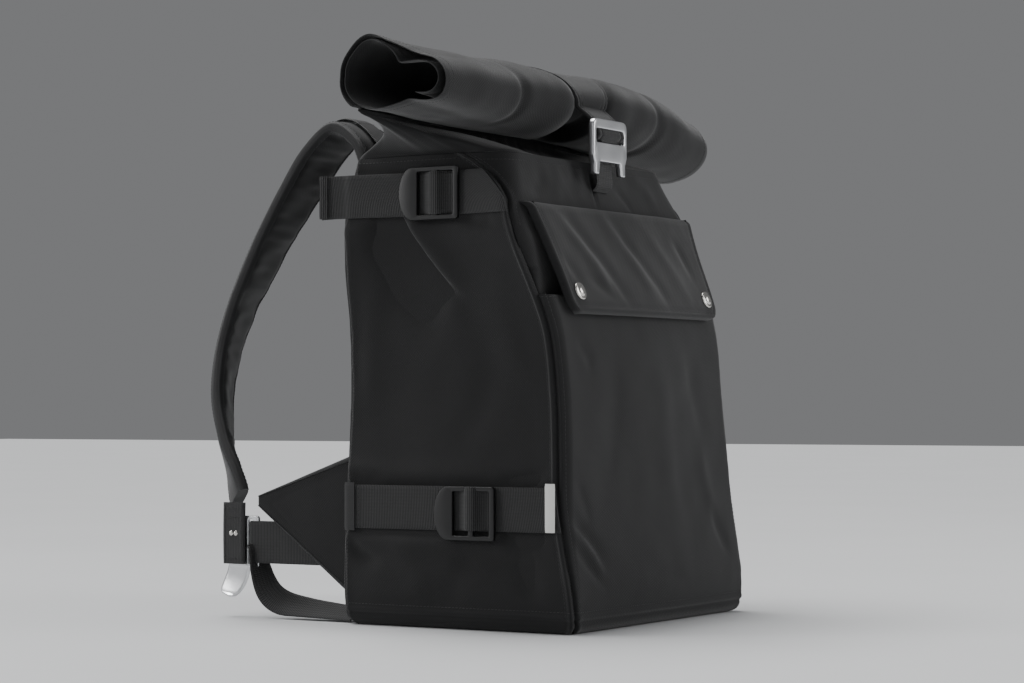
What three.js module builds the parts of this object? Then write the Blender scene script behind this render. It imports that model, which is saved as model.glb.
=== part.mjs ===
// Rolltop backpack, standing on its base: X across the bag, -Y its front, +Z up, in millimetres.
import * as THREE from 'three';
import { mergeVertices } from 'three/addons/utils/BufferGeometryUtils.js';

// Bag body
const bagWidth = 310;
const bagDepth = 237;
const shoulderHeight = 410;
const clothWall = 2.2;
const backPadding = 10;
const baseWall = 3;
const clearance = 0.4;

// Front pocket and flap
const pocketBack = 78;
const mouthRise = 62;
const flapBelowShoulder = 44;
const flapTop = shoulderHeight - flapBelowShoulder;
const flapDrop = 97;
const mouthBelowFlap = 80;
const pocketHeight = flapTop - mouthBelowFlap;
const flapTopWidth = 289;
const flapBottomWidth = 265;
const flapCorner = 14;
const flapThickness = 3;
const flapStandOff = 8;
const snapDiameter = 16;
const snapHeight = 3.6;
const snapRise = 20;
const snapInset = 17;

// Collar and roll
const rollLength = 464;
const rollDepth = 114;
const rollHeight = 70;
const rollCentreY = 10;
const rollAboveShoulder = 54;
const rollCentreHeight = shoulderHeight + rollAboveShoulder;
const rollWall = 2.4;
const rollPitch = 5;
const rollTurns = 1.7;
const collarUpstand = 4;
const neckThickness = 13;
const neckY = 50;
const neckTip = 5;

// Tab over the roll, its hook and the loop that the hook catches
const tabThickness = 3;
const tabFootWidth = 116;
const tabBackWidth = 160;
const tabTipWidth = 46;
const hookWidth = 60;
const hookHeight = 50;
const hookThickness = 6;
const hookRail = 5;
const hookTopRail = 9;
const hookAboveShoulder = 38;
const hookTop = shoulderHeight + hookAboveShoulder;
const hookFrontY = 66;
const hookSlotHeight = 12;
const hookBarHeight = 18;
const loopWidth = 28;
const webThickness = 2;

// Side webbing and its ladder locks
const webWidth = 38;
const lowerStrapHeight = 104;
const upperStrapBelowShoulder = 34;
const upperStrapHeight = shoulderHeight - upperStrapBelowShoulder;
const freeEnd = 19;
const lockLength = 47;
const lockHeight = 46;
const lockThickness = 4;
const lockRail = 5;
const lockTab = 14;
const lowerLockY = -19;
const lowerLockDrop = 4;
const upperLockY = 20;
const labelHeight = 41;
const labelReach = 9;
const labelThickness = 0.9;

// Shoulder straps and what they hook on to
const strapWidth = 62;
const strapThickness = 13;
const strapReach = 172;
const rightTuck = 52;
const lifterWidth = 25;
const endTabWidth = 25;
const endTabLength = 56;
const rivetDiameter = 8;
const wingLength = 103;
const wingHeight = 121;
const wingFoot = 26;
const wingThickness = 3;
const wingTip = 8;
const wingInset = 12;
const wingWebHeight = 68.5;
const wingWebRoot = 46;
const strapHookLength = 34;
const strapHookThickness = 3;
const strapHookBar = 7;
const tongueDrop = 27;
const tailWidth = 25;

const half = bagWidth / 2;
const back = bagDepth / 2;
const steps = (from, to, count) => [...Array(count + 1).keys()]
  .map((i) => THREE.MathUtils.lerp(from, to, i / count));

// Sections of the bag. height: share of the shoulder height; half: share of the width; front and back:
// shares of the depth; swell and sag: how far the front stands out and the sides draw in, shares of the
// depth.
const bodySections = [
  { height: 0.002, half: 0.478, front: 0.47, back: 0.48, swell: 0, sag: 0 },
  { height: 0.012, half: 0.492, front: 0.494, back: 0.495, swell: 0, sag: 0 },
  { height: 0.03, half: 0.5, front: 0.503, back: 0.5, swell: 0.004, sag: 0 },
  { height: 0.085, half: 0.505, front: 0.503, back: 0.502, swell: 0.01, sag: 0 },
  { height: 0.15, half: 0.503, front: 0.49, back: 0.502, swell: 0.014, sag: 0.004 },
  { height: 0.256, half: 0.497, front: 0.468, back: 0.5, swell: 0.014, sag: 0.01 },
  { height: 0.37, half: 0.485, front: 0.458, back: 0.5, swell: 0.016, sag: 0.01 },
  { height: 0.49, half: 0.474, front: 0.443, back: 0.5, swell: 0.02, sag: 0.008 },
  { height: 0.6, half: 0.477, front: 0.425, back: 0.5, swell: 0.02, sag: 0.012 },
  { height: 0.655, half: 0.483, front: 0.405, back: 0.5, swell: 0.016, sag: 0.02 },
  { height: 0.72, half: 0.497, front: 0.368, back: 0.5, swell: 0.008, sag: 0.034 },
  { height: 0.8, half: 0.507, front: 0.31, back: 0.5, swell: 0.002, sag: 0.046 },
  { height: 0.87, half: 0.503, front: 0.262, back: 0.5, swell: 0, sag: 0.034 },
  { height: 0.9, half: 0.493, front: 0.245, back: 0.498, swell: 0, sag: 0.02 },
  { height: 0.94, half: 0.475, front: 0.22, back: 0.494, swell: 0, sag: 0.006 },
  { height: 0.97, half: 0.468, front: 0.2, back: 0.488, swell: 0, sag: 0 },
  { height: 1, half: 0.462, front: 0.185, back: 0.476, swell: 0, sag: 0 },
];

// The bag's front corners. height: share of the shoulder height; reachX and reachY: the corner's reach
// along the front and along the side, shares of width and depth; seam: how far round the corner the seam
// lies, from 0 on the front to 1 on the side, and past it.
const cornerSections = [
  { height: 0.002, reachX: 0.036, reachY: 0.047, seam: 0.85 },
  { height: 0.49, reachX: 0.036, reachY: 0.047, seam: 0.85 },
  { height: 0.6, reachX: 0.036, reachY: 0.047, seam: 0.85 },
  { height: 0.655, reachX: 0.038, reachY: 0.05, seam: 0.84 },
  { height: 0.72, reachX: 0.04, reachY: 0.054, seam: 0.8 },
  { height: 0.8, reachX: 0.042, reachY: 0.058, seam: 0.74 },
  { height: 0.87, reachX: 0.045, reachY: 0.06, seam: 0.68 },
  { height: 0.9, reachX: 0.048, reachY: 0.062, seam: 0.66 },
  { height: 0.94, reachX: 0.056, reachY: 0.08, seam: 0.86 },
  { height: 0.97, reachX: 0.066, reachY: 0.1, seam: 1.04 },
  { height: 1, reachX: 0.08, reachY: 0.12, seam: 1.5 },
];
const backCorner = 0.04;

// The roll from its left end to its right. across: share of half the roll's length; rise: of the centre,
// share of the roll's height; deep and tall: shares of its depth and height; skew: how far it takes the
// left end's form.
const rollSections = [
  { across: -1, rise: 0.12, deep: 1, tall: 1, skew: 1 },
  { across: -0.86, rise: 0.1, deep: 1, tall: 1, skew: 0.75 },
  { across: -0.6, rise: 0.04, deep: 1.02, tall: 0.98, skew: 0.35 },
  { across: -0.3, rise: 0, deep: 1.02, tall: 0.95, skew: 0.1 },
  { across: 0, rise: 0, deep: 1, tall: 0.92, skew: 0 },
  { across: 0.3, rise: 0, deep: 1.02, tall: 0.98, skew: 0 },
  { across: 0.6, rise: -0.06, deep: 1.04, tall: 1.02, skew: 0 },
  { across: 0.86, rise: -0.24, deep: 1.02, tall: 1.02, skew: 0 },
  { across: 1, rise: -0.33, deep: 0.98, tall: 1, skew: 0 },
];

// Reach of the roll's left end from its centre, as a share of the oval that the rest of the roll has.
// turn: share of a full turn, from the back over the top to the front.
const endReach = [
  { turn: 0, reach: 1 },
  { turn: 0.06, reach: 1.04 },
  { turn: 0.14, reach: 1.12 },
  { turn: 0.2, reach: 0.86 },
  { turn: 0.3, reach: 0.68 },
  { turn: 0.42, reach: 0.66 },
  { turn: 0.48, reach: 0.88 },
  { turn: 0.54, reach: 1.08 },
  { turn: 0.58, reach: 1.14 },
  { turn: 0.65, reach: 0.88 },
  { turn: 0.72, reach: 0.92 },
  { turn: 0.82, reach: 1.04 },
  { turn: 0.9, reach: 1.12 },
  { turn: 1, reach: 1 },
];

// Shoulder strap from its root on the bag's back to its end. out: share of half the bag's width;
// behind: share of the strap's reach; height: share of the shoulder height; twist: share of a quarter
// turn towards the side; wide and thick: shares of the strap's sizes.
const strapStations = [
  { out: 0.52, behind: 0.044, height: 0.925, twist: 0, wide: 0.94, thick: 0.75 },
  { out: 0.52, behind: 0.05, height: 0.985, twist: 0, wide: 0.96, thick: 0.9 },
  { out: 0.52, behind: 0.11, height: 1.05, twist: 0, wide: 1, thick: 1 },
  { out: 0.52, behind: 0.26, height: 1.085, twist: 0, wide: 1, thick: 1 },
  { out: 0.535, behind: 0.42, height: 1.035, twist: 0, wide: 1, thick: 1 },
  { out: 0.55, behind: 0.56, height: 0.955, twist: 0.03, wide: 1, thick: 1 },
  { out: 0.585, behind: 0.69, height: 0.866, twist: 0.1, wide: 1, thick: 1 },
  { out: 0.625, behind: 0.805, height: 0.77, twist: 0.16, wide: 1, thick: 1 },
  { out: 0.665, behind: 0.9, height: 0.676, twist: 0.22, wide: 1, thick: 1 },
  { out: 0.705, behind: 0.956, height: 0.58, twist: 0.27, wide: 1, thick: 1 },
  { out: 0.745, behind: 0.96, height: 0.483, twist: 0.31, wide: 1, thick: 1 },
  { out: 0.785, behind: 0.91, height: 0.39, twist: 0.4, wide: 0.94, thick: 1 },
  { out: 0.82, behind: 0.83, height: 0.317, twist: 0.5, wide: 0.82, thick: 0.95 },
  { out: 0.85, behind: 0.77, height: 0.262, twist: 0.6, wide: 0.66, thick: 0.85 },
];

// Loose webbing from the wing's hook down to the ground and back to the bag's corner. behind: share of
// the wing's length; height: share of the wing web's height; lean: share of a quarter turn from upright;
// wide: share of its width.
const tailStations = [
  { behind: 1.03, height: 0.64, lean: 0.2, wide: 0.8 },
  { behind: 0.94, height: 0.35, lean: 0.25, wide: 0.95 },
  { behind: 0.8, height: 0.21, lean: 0.4, wide: 1 },
  { behind: 0.58, height: 0.16, lean: 0.56, wide: 1 },
  { behind: 0.32, height: 0.13, lean: 0.66, wide: 1 },
  { behind: 0.012, height: 0.1, lean: 0.72, wide: 1 },
];

// The hook's tongue at the strap's end. along: share of the hook's length, from the bag outwards;
// drop: share of the tongue's drop below the frame.
const tongueOutline = [
  { along: 1, drop: -0.25 },
  { along: 1.2, drop: 0.35 },
  { along: 1.36, drop: 0.75 },
  { along: 1.28, drop: 1 },
  { along: 0.7, drop: 0.9 },
  { along: 0.36, drop: 0.35 },
  { along: 0.3, drop: 0 },
];

const black = { color: 0x17181b, roughness: 0.9, metalness: 0 };
const webBlack = { color: 0x111214, roughness: 0.8, metalness: 0 };
const plastic = { color: 0x0e0f11, roughness: 0.45, metalness: 0 };
const bright = { color: 0xd4d6d8, roughness: 0.32, metalness: 1 };
const white = { color: 0xe6e6e2, roughness: 0.8, metalness: 0 };

const bag = new THREE.Group();

// Adds one named piece, with its faces turned outwards.
function addPiece(name, geometry, look) {
  for (const extra of ['normal', 'uv']) geometry.deleteAttribute(extra);
  const merged = mergeVertices(geometry, 1e-4);
  const place = merged.attributes.position;
  const index = merged.index.array;
  const [a, b, c] = [new THREE.Vector3(), new THREE.Vector3(), new THREE.Vector3()];
  let volume = 0;
  for (let i = 0; i < index.length; i += 3) {
    a.fromBufferAttribute(place, index[i]);
    b.fromBufferAttribute(place, index[i + 1]);
    c.fromBufferAttribute(place, index[i + 2]);
    volume += a.dot(b.cross(c));
  }
  if (volume < 0) {
    for (let i = 0; i < index.length; i += 3) [index[i], index[i + 1]] = [index[i + 1], index[i]];
  }
  merged.computeVertexNormals();
  const mesh = new THREE.Mesh(merged, new THREE.MeshStandardMaterial(look));
  mesh.name = name;
  bag.add(mesh);
}

// Reads a table between its rows, along the column given, on a smooth curve.
function readTable(rows, column, at) {
  let i = 0;
  while (i < rows.length - 2 && at > rows[i + 1][column]) i += 1;
  const [p, q] = [rows[i], rows[i + 1]];
  const [before, after] = [rows[Math.max(i - 1, 0)], rows[Math.min(i + 2, rows.length - 1)]];
  const span = q[column] - p[column];
  const t = THREE.MathUtils.clamp((at - p[column]) / span, 0, 1);
  const result = {};
  for (const key of Object.keys(p)) {
    const slopeP = (q[key] - before[key]) / (q[column] - before[column]) * span;
    const slopeQ = (after[key] - p[key]) / (after[column] - p[column]) * span;
    const [t2, t3] = [t * t, t * t * t];
    result[key] = p[key] * (2 * t3 - 3 * t2 + 1) + slopeP * (t3 - 2 * t2 + t)
      + q[key] * (3 * t2 - 2 * t3) + slopeQ * (t3 - t2);
  }
  return result;
}

// A closed sheet between two grids of points, its outer and its inner face. Closed loops join up.
function sheet(outer, inner, loop = false) {
  const rows = outer.length;
  const cols = outer[0].length;
  const points = [...outer.flat(), ...inner.flat()];
  const at = (face, i, j) => face * rows * cols + i * cols + (j % cols);
  const faces = [];
  const quad = (a, b, c, d) => faces.push(a, b, c, a, c, d);
  const lastCol = loop ? cols : cols - 1;
  for (let i = 0; i < rows - 1; i += 1) {
    for (let j = 0; j < lastCol; j += 1) {
      quad(at(0, i, j), at(0, i, j + 1), at(0, i + 1, j + 1), at(0, i + 1, j));
      quad(at(1, i, j), at(1, i + 1, j), at(1, i + 1, j + 1), at(1, i, j + 1));
    }
    if (!loop) {
      quad(at(0, i, 0), at(0, i + 1, 0), at(1, i + 1, 0), at(1, i, 0));
      quad(at(0, i, cols - 1), at(1, i, cols - 1), at(1, i + 1, cols - 1), at(0, i + 1, cols - 1));
    }
  }
  for (let j = 0; j < lastCol; j += 1) {
    quad(at(0, 0, j), at(1, 0, j), at(1, 0, j + 1), at(0, 0, j + 1));
    quad(at(0, rows - 1, j), at(0, rows - 1, j + 1), at(1, rows - 1, j + 1), at(1, rows - 1, j));
  }
  const geometry = new THREE.BufferGeometry().setFromPoints(points);
  geometry.setIndex(faces);
  return geometry;
}

// A band swept along stations of { at, across, width, thickness }, with softened edges where round is set.
function band(stations, round = 0) {
  const outlines = stations.map((station, i) => {
    const next = stations[Math.min(i + 1, stations.length - 1)].at;
    const last = stations[Math.max(i - 1, 0)].at;
    const along = next.clone().sub(last).normalize();
    const across = station.across.clone().addScaledVector(along, -station.across.dot(along)).normalize();
    const up = across.clone().cross(along);
    const [w, h] = [station.width / 2, station.thickness / 2];
    const edge = w - round * h;
    const corners = round > 0
      ? [[-w, -h * 0.4], [-edge, -h], [edge, -h], [w, -h * 0.4],
        [w, h * 0.4], [edge, h], [-edge, h], [-w, h * 0.4]]
      : [[-w, -h], [w, -h], [w, h], [-w, h]];
    return corners.map(([a, b]) => station.at.clone().addScaledVector(across, a).addScaledVector(up, b));
  });
  const n = outlines[0].length;
  const faces = [];
  for (let i = 0; i < outlines.length - 1; i += 1) {
    for (let j = 0; j < n; j += 1) {
      const [a, b] = [i * n + j, i * n + (j + 1) % n];
      faces.push(a, b, b + n, a, b + n, a + n);
    }
  }
  const top = (outlines.length - 1) * n;
  for (let j = 1; j < n - 1; j += 1) faces.push(0, j + 1, j, top, top + j, top + j + 1);
  const geometry = new THREE.BufferGeometry().setFromPoints(outlines.flat());
  geometry.setIndex(faces);
  return geometry;
}

// The bag's outline at one height, drawn in by an inset.
function outline(height, inset = 0, frontInset = inset) {
  const s = readTable(bodySections, 'height', height / shoulderHeight);
  const bend = readTable(cornerSections, 'height', height / shoulderHeight);
  return {
    height,
    half: s.half * bagWidth - inset,
    front: -s.front * bagDepth + frontInset,
    back: s.back * bagDepth - inset,
    cornerX: Math.max(bend.reachX * bagWidth - inset, 2),
    cornerY: Math.max(bend.reachY * bagDepth - inset, 2),
    turn: Math.max(backCorner * bagDepth - inset, 2),
    seam: bend.seam,
    swell: s.swell * bagDepth,
    sag: s.sag * bagDepth,
  };
}

// How far a round corner draws in at a share of its reach
const cornerCut = (share) => 1 - Math.sqrt(Math.max(1 - share * share, 0));

// How far forward the front lies at a distance x from the middle
function frontAt(o, x) {
  const flat = o.half - o.cornerX;
  const over = Math.max(Math.abs(x) - flat, 0) / o.cornerX;
  if (over > 0) return o.front + o.cornerY * cornerCut(over);
  return o.front - o.swell * Math.cos(Math.PI / 2 * x / flat) ** 2;
}

// How far out the side lies at a distance y from the middle.
function sideAt(o, y) {
  const flatFront = o.front + o.cornerY;
  const flatBack = o.back - o.turn;
  if (y < flatFront) return o.half - o.cornerX * cornerCut((flatFront - y) / o.cornerY);
  if (y > flatBack) return o.half - o.turn * cornerCut((y - flatBack) / o.turn);
  return o.half - o.sag * Math.sin(Math.PI * (y - flatFront) / (flatBack - flatFront));
}

// How far back the back lies at a distance x from the middle.
function backAt(o, x) {
  const over = Math.max(Math.abs(x) - (o.half - o.turn), 0) / o.turn;
  return o.back - o.turn * cornerCut(over);
}

// Points of the outline from seam to seam, each face stopping short of its seam
const cornerSteps = [0, 0.33, 0.67, 1];
const faceSteps = [0.25, 0.5, 0.75];

// A point round the front corner: 0 where the front ends, 1 where the side begins, then along the side
function cornerPoint(o, along) {
  if (along > 1) {
    const y = o.front + o.cornerY * along;
    return [sideAt(o, y), y];
  }
  const angle = along * Math.PI / 2;
  return [o.half - o.cornerX * (1 - Math.sin(angle)), o.front + o.cornerY * (1 - Math.cos(angle))];
}

function frontRow(o) {
  const flat = o.half - o.cornerX;
  const end = o.seam - clearance / 3 / o.cornerY;
  const right = cornerSteps.map((t) => cornerPoint(o, end * t));
  const left = right.map(([x, y]) => [-x, y]).reverse();
  const middle = faceSteps.map((t) => -flat + 2 * flat * t).map((x) => [x, frontAt(o, x)]);
  return [...left, ...middle, ...right].map(([x, y]) => new THREE.Vector3(x, y, o.height));
}

function sideRow(o, sign) {
  const start = o.seam + clearance / 3 / o.cornerY;
  const end = Math.PI / 4 + clearance / 2 / o.turn;
  const corner = cornerSteps
    .map((t) => cornerPoint(o, THREE.MathUtils.lerp(start, Math.max(1, start + 0.3), t)));
  const [from, to] = [corner[corner.length - 1][1], o.back - o.turn];
  const middle = faceSteps.map((t) => THREE.MathUtils.lerp(from, to, t)).map((y) => [sideAt(o, y), y]);
  const rear = cornerSteps.map((t) => THREE.MathUtils.lerp(Math.PI / 2, end, t))
    .map((angle) => [o.half - o.turn * (1 - Math.sin(angle)), to + o.turn * Math.cos(angle)]);
  return [...corner, ...middle, ...rear].map(([x, y]) => new THREE.Vector3(sign * x, y, o.height));
}

function backRow(o) {
  const end = Math.PI / 4 - clearance / 2 / o.turn;
  const flat = o.half - o.turn;
  const right = cornerSteps
    .map((t) => [flat + o.turn * Math.sin(end * t), o.back - o.turn * (1 - Math.cos(end * t))]);
  const left = right.map(([x, y]) => [-x, y]).reverse();
  return [...left, [0, o.back], ...right].map(([x, y]) => new THREE.Vector3(x, y, o.height));
}

// Heights at which the panels are drawn, from one height to another.
function panelHeights(from, to) {
  const inner = bodySections.map((s) => s.height * shoulderHeight)
    .filter((z) => z > from + 2 && z < to - 2);
  return [from, ...inner, to];
}

// Base: a flat plate inside the lower edges of the walls.
const lowest = bodySections[0].height * shoulderHeight;
const baseOutline = outline(lowest, clothWall + clearance);
const basePlan = [...frontRow(baseOutline), ...sideRow(baseOutline, 1).slice(1, -1),
  ...backRow(baseOutline).reverse(), ...sideRow(baseOutline, -1).reverse().slice(1, -1)];
const baseShape = new THREE.Shape(basePlan.map((p) => new THREE.Vector2(p.x, p.y)));
addPiece('base_panel', new THREE.ExtrudeGeometry(baseShape, { depth: baseWall, bevelEnabled: false }), black);

// Walls of the bag
const wallHeights = panelHeights(lowest, shoulderHeight);
for (const [name, sign] of [['side_panel_left', -1], ['side_panel_right', 1]]) {
  addPiece(name, sheet(wallHeights.map((z) => sideRow(outline(z), sign)),
    wallHeights.map((z) => sideRow(outline(z, clothWall), sign))), black);
}
const backHeights = panelHeights(baseWall + clearance, shoulderHeight);
addPiece('back_panel', sheet(backHeights.map((z) => backRow(outline(z))),
  backHeights.map((z) => backRow(outline(z, backPadding)))), black);

// Front pocket: its front wall, and behind it the bag's own front, which comes forward above the mouth
const pocketHeights = panelHeights(lowest, pocketHeight);
addPiece('pocket_panel', sheet(pocketHeights.map((z) => frontRow(outline(z))),
  pocketHeights.map((z) => frontRow(outline(z, clothWall)))), black);

function pocketInset(z) {
  const full = Math.max(-pocketBack - outline(Math.min(z, pocketHeight)).front, clothWall + clearance);
  const start = pocketHeight - mouthRise / 4;
  return full * THREE.MathUtils.clamp(1 - (z - start) / mouthRise, 0, 1);
}

function frontPanelRow(z, wall) {
  const inset = pocketInset(z);
  const sideInset = Math.min(inset, clothWall + clearance);
  const o = outline(z, sideInset + wall, inset + wall);
  o.cornerX = Math.max(o.cornerX - (inset - sideInset), 3 - wall);
  o.cornerY = Math.max(o.cornerY - (inset - sideInset), 3 - wall);
  o.swell *= 1 - Math.min(inset / (clothWall + clearance), 1);
  const room = steps(o.front, o.front + o.cornerY * 2, 6)
    .map((y) => sideAt(outline(z), y) - clothWall - clearance * 1.5 - wall);
  if (inset > clothWall * 2) o.half = Math.min(o.half, ...room);
  return frontRow(o);
}
const frontHeights = [...new Set([...panelHeights(baseWall + clearance, shoulderHeight),
  pocketHeight - mouthRise / 4, pocketHeight + mouthRise / 4, pocketHeight + mouthRise / 2,
  pocketHeight + mouthRise * 0.72])].sort((p, q) => p - q);
addPiece('front_panel', sheet(frontHeights.map((z) => frontPanelRow(z, 0)),
  frontHeights.map((z) => frontPanelRow(z, clothWall))), black);

// Flap over the pocket's mouth: a lid that stands off the front, with walls down to it at its top and its
// sides, open below. A step runs from 0 at the lower edge to 1 at the top, then to the top wall's foot.
const flapSteps = [0, 0.03, 0.08, 0.2, 0.45, 0.7, 1];
const flapAcross = [-1, -0.9, -0.75, -0.5, -0.25, 0, 0.25, 0.5, 0.75, 0.9, 1];

function flapPoint(step, across, inset, seated = false) {
  const z = Math.min(flapTop - flapDrop * (1 - step), flapTop - inset);
  const width = THREE.MathUtils.lerp(flapBottomWidth, flapTopWidth, step ** 2);
  const rise = Math.min(step * flapDrop, flapCorner);
  const cut = flapCorner - Math.sqrt(flapCorner ** 2 - (flapCorner - rise) ** 2);
  const x = across * (width / 2 - cut - inset);
  const off = seated ? clearance * 2 : flapStandOff + flapThickness - inset;
  return new THREE.Vector3(x, frontAt(outline(z), x) - off, z);
}

function flapFace(inset) {
  const rows = flapSteps.map((step) => [flapPoint(step, -1, inset, true),
    ...flapAcross.map((across) => flapPoint(step, across, inset)), flapPoint(step, 1, inset, true)]);
  const topWall = [-1, ...flapAcross, 1].map((across) => flapPoint(1, across, inset, true));
  return [...rows, topWall];
}
addPiece('pocket_flap', sheet(flapFace(0), flapFace(flapThickness)), black);

// Domed snaps on the flap's lower corners
const snapProfile = [[0, 0], [0.5, 0], [0.5, 0.35], [0.42, 0.7], [0.25, 0.93], [0, 1]]
  .map(([r, h]) => new THREE.Vector2(r * snapDiameter, h * snapHeight));
for (const [name, sign] of [['snap_left', -1], ['snap_right', 1]]) {
  const level = snapRise / flapDrop;
  const reach = THREE.MathUtils.lerp(flapBottomWidth, flapTopWidth, level) / 2;
  const seat = flapPoint(level, sign * (1 - snapInset / reach), 0);
  const geometry = new THREE.LatheGeometry(snapProfile, 20).rotateX(Math.PI);
  const above = flapPoint(level + 0.1, 0, 0);
  const below = flapPoint(level - 0.1, 0, 0);
  geometry.rotateX(-Math.atan2(above.y - below.y, above.z - below.z));
  addPiece(name, geometry.translate(seat.x, seat.y - clearance * 1.6, seat.z), bright);
}

// Roll: the centre and the outer reach of its section at a place along it
function rollAt(across) {
  const s = readTable(rollSections, 'across', across);
  return { y: rollCentreY, z: rollCentreHeight + s.rise * rollHeight, skew: s.skew,
    deep: s.deep * rollDepth / 2, tall: s.tall * rollHeight / 2 };
}

function rollPoint(across, turns, inset) {
  const s = rollAt(across);
  const angle = turns * Math.PI * 2;
  const share = readTable(endReach, 'turn', ((turns % 1) + 1) % 1).reach;
  const reach = THREE.MathUtils.lerp(1, share, s.skew);
  const oval = 1 / Math.hypot(Math.cos(angle) / s.deep, Math.sin(angle) / s.tall);
  const r = oval * reach - inset;
  return new THREE.Vector3(across * rollLength / 2, s.y + r * Math.cos(angle), s.z + r * Math.sin(angle));
}
const neckTurn = -0.085;
const rollAcross = [-1, -0.93, -0.86, -0.73, -0.6, -0.4, -0.2, 0, 0.2, 0.4, 0.6, 0.73, 0.86, 0.93, 1];
const rollSteps = [...Array(37).keys()].map((i) => i / 36 * rollTurns);
const rollFace = (inset) => rollAcross
  .map((a) => rollSteps.map((t) => rollPoint(a, neckTurn + t, rollPitch * t + inset)));
addPiece('roll', sheet(rollFace(0), rollFace(rollWall)), black);

// Collar: from the bag's outline up and outwards to the flat neck that runs into the roll

// The roll's underside above a place, as low as it comes within a reach in front and behind
function underRoll(x, y, reach) {
  const across = THREE.MathUtils.clamp(x / (rollLength / 2), -1, 1);
  let z = rollAt(across).z;
  for (let t = -0.5; t <= 0.1; t += 0.01) {
    const p = rollPoint(across, t, 0);
    if (Math.abs(p.y - y) < reach) z = Math.min(z, p.z);
  }
  return z - clearance;
}

function ringOf(o) {
  return [...frontRow(o), ...sideRow(o, 1), ...backRow(o).reverse(), ...sideRow(o, -1).reverse()];
}

// The flat neck's ring of points: the middles of the two sides go to its ends, the rest in proportion.
function neckRing(ring, inset) {
  const side = 2 * cornerSteps.length + faceSteps.length;
  const middle = (side - 1) / 2;
  const [right, left] = [side + middle, ring.length - 1 - middle];
  const reach = rollLength / 2 - neckTip - inset;
  const step = (i) => ring[i].distanceTo(ring[(i + 1) % ring.length]);
  const place = new Array(ring.length);
  for (const [from, to, sign] of [[left, right + ring.length, -1], [right, left, 1]]) {
    let total = 0;
    for (let i = from; i < to; i += 1) total += step(i % ring.length);
    let walked = 0;
    for (let i = from; i < to; i += 1) {
      const x = sign * (1 - 2 * walked / total);
      const bulge = (neckThickness / 2 - inset) * Math.sqrt(Math.max(1 - Math.abs(x) ** 6, 0));
      place[i % ring.length] = new THREE.Vector3(x * reach, neckY + sign * bulge, 0);
      walked += step(i % ring.length);
    }
  }
  return place;
}

// The collar from the bag's top to the roll. blend: share of the way from the bag's outline to the flat
// neck; rise: share of the height up to the roll; drop: share of the wall by which the inner face lies
// lower than the outer one.
const collarRows = [
  { blend: 0, rise: 0, drop: 0 },
  { blend: 0.02, rise: 0.16, drop: 0 },
  { blend: 0.22, rise: 0.42, drop: 0.8 },
  { blend: 0.48, rise: 0.62, drop: 1 },
  { blend: 0.78, rise: 0.74, drop: 1 },
  { blend: 1, rise: 0.84, drop: 0.3 },
  { blend: 1, rise: 1, drop: 0 },
];

function collarFace(inset) {
  const ring = ringOf(outline(shoulderHeight, inset));
  const neck = neckRing(ringOf(outline(shoulderHeight)), inset);
  return collarRows.map((row) => ring.map((p, i) => {
    const ease = row.blend;
    const x = THREE.MathUtils.lerp(p.x, neck[i].x, ease);
    const y = THREE.MathUtils.lerp(p.y, neck[i].y, ease);
    const top = underRoll(neck[i].x, neckY, neckThickness / 2);
    const roof = Math.min(THREE.MathUtils.lerp(shoulderHeight + clearance, top, row.rise),
      row.blend > 0.1 && row.rise < 1 ? underRoll(x, y, webThickness * 3) - clearance * 2 : Infinity);
    const z = roof - inset * row.drop;
    return new THREE.Vector3(x, y, z);
  }));
}
addPiece('collar', sheet(collarFace(0), collarFace(clothWall), true), black);

// Tab of cloth: sewn to the bag's back, up behind the roll, over it and down its front to the hook
const tabSteps = [...Array(17).keys()].map((i) => i / 16);
const tabAcross = [-1, -0.5, 0, 0.5, 1];
const tabStart = 0.02;
const tabEnd = 0.535;
const tabSeat = clearance * 2;

function tabFace(lift) {
  const over = tabSteps.map((t) => {
    const width = THREE.MathUtils.lerp(tabBackWidth, tabTipWidth, Math.max(t * 1.4 - 0.4, 0));
    const turn = THREE.MathUtils.lerp(tabStart, tabEnd, t);
    return tabAcross.map((a) => rollPoint(a * width / rollLength, turn, -tabSeat - lift));
  });
  const seat = outline(shoulderHeight).back + clearance * 1.5 + lift;
  const foot = [clearance * 3, collarUpstand * 2].map((rise) => tabAcross.map((a) => new THREE.Vector3(
    a * tabFootWidth / 2, seat, shoulderHeight + rise)));
  return [...foot, ...over];
}
addPiece('roll_strap', sheet(tabFace(tabThickness), tabFace(0)), black);

// A plate cut from an outline, its thickness centred, standing in the X-Z plane
function uprightPlate(shape, thickness) {
  const cut = { depth: thickness, bevelEnabled: false, curveSegments: 6 };
  const geometry = new THREE.ExtrudeGeometry(shape, cut);
  return geometry.translate(0, 0, -thickness / 2).rotateX(Math.PI / 2);
}

// A plate cut from an outline given in Y and Z, its thickness centred on X
function sidePlate(shape, thickness) {
  const cut = { depth: thickness, bevelEnabled: false, curveSegments: 5 };
  const turned = new THREE.Matrix4().makeBasis(new THREE.Vector3(0, 1, 0), new THREE.Vector3(0, 0, 1),
    new THREE.Vector3(1, 0, 0));
  return new THREE.ExtrudeGeometry(shape, cut).translate(0, 0, -thickness / 2).applyMatrix4(turned);
}

function roundedBox(shape, x0, x1, z0, z1, r) {
  shape.moveTo(x0 + r, z0);
  shape.lineTo(x1 - r, z0);
  shape.quadraticCurveTo(x1, z0, x1, z0 + r);
  shape.lineTo(x1, z1 - r);
  shape.quadraticCurveTo(x1, z1, x1 - r, z1);
  shape.lineTo(x0 + r, z1);
  shape.quadraticCurveTo(x0, z1, x0, z1 - r);
  shape.lineTo(x0, z0 + r);
  shape.quadraticCurveTo(x0, z0, x0 + r, z0);
  return shape;
}

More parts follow.
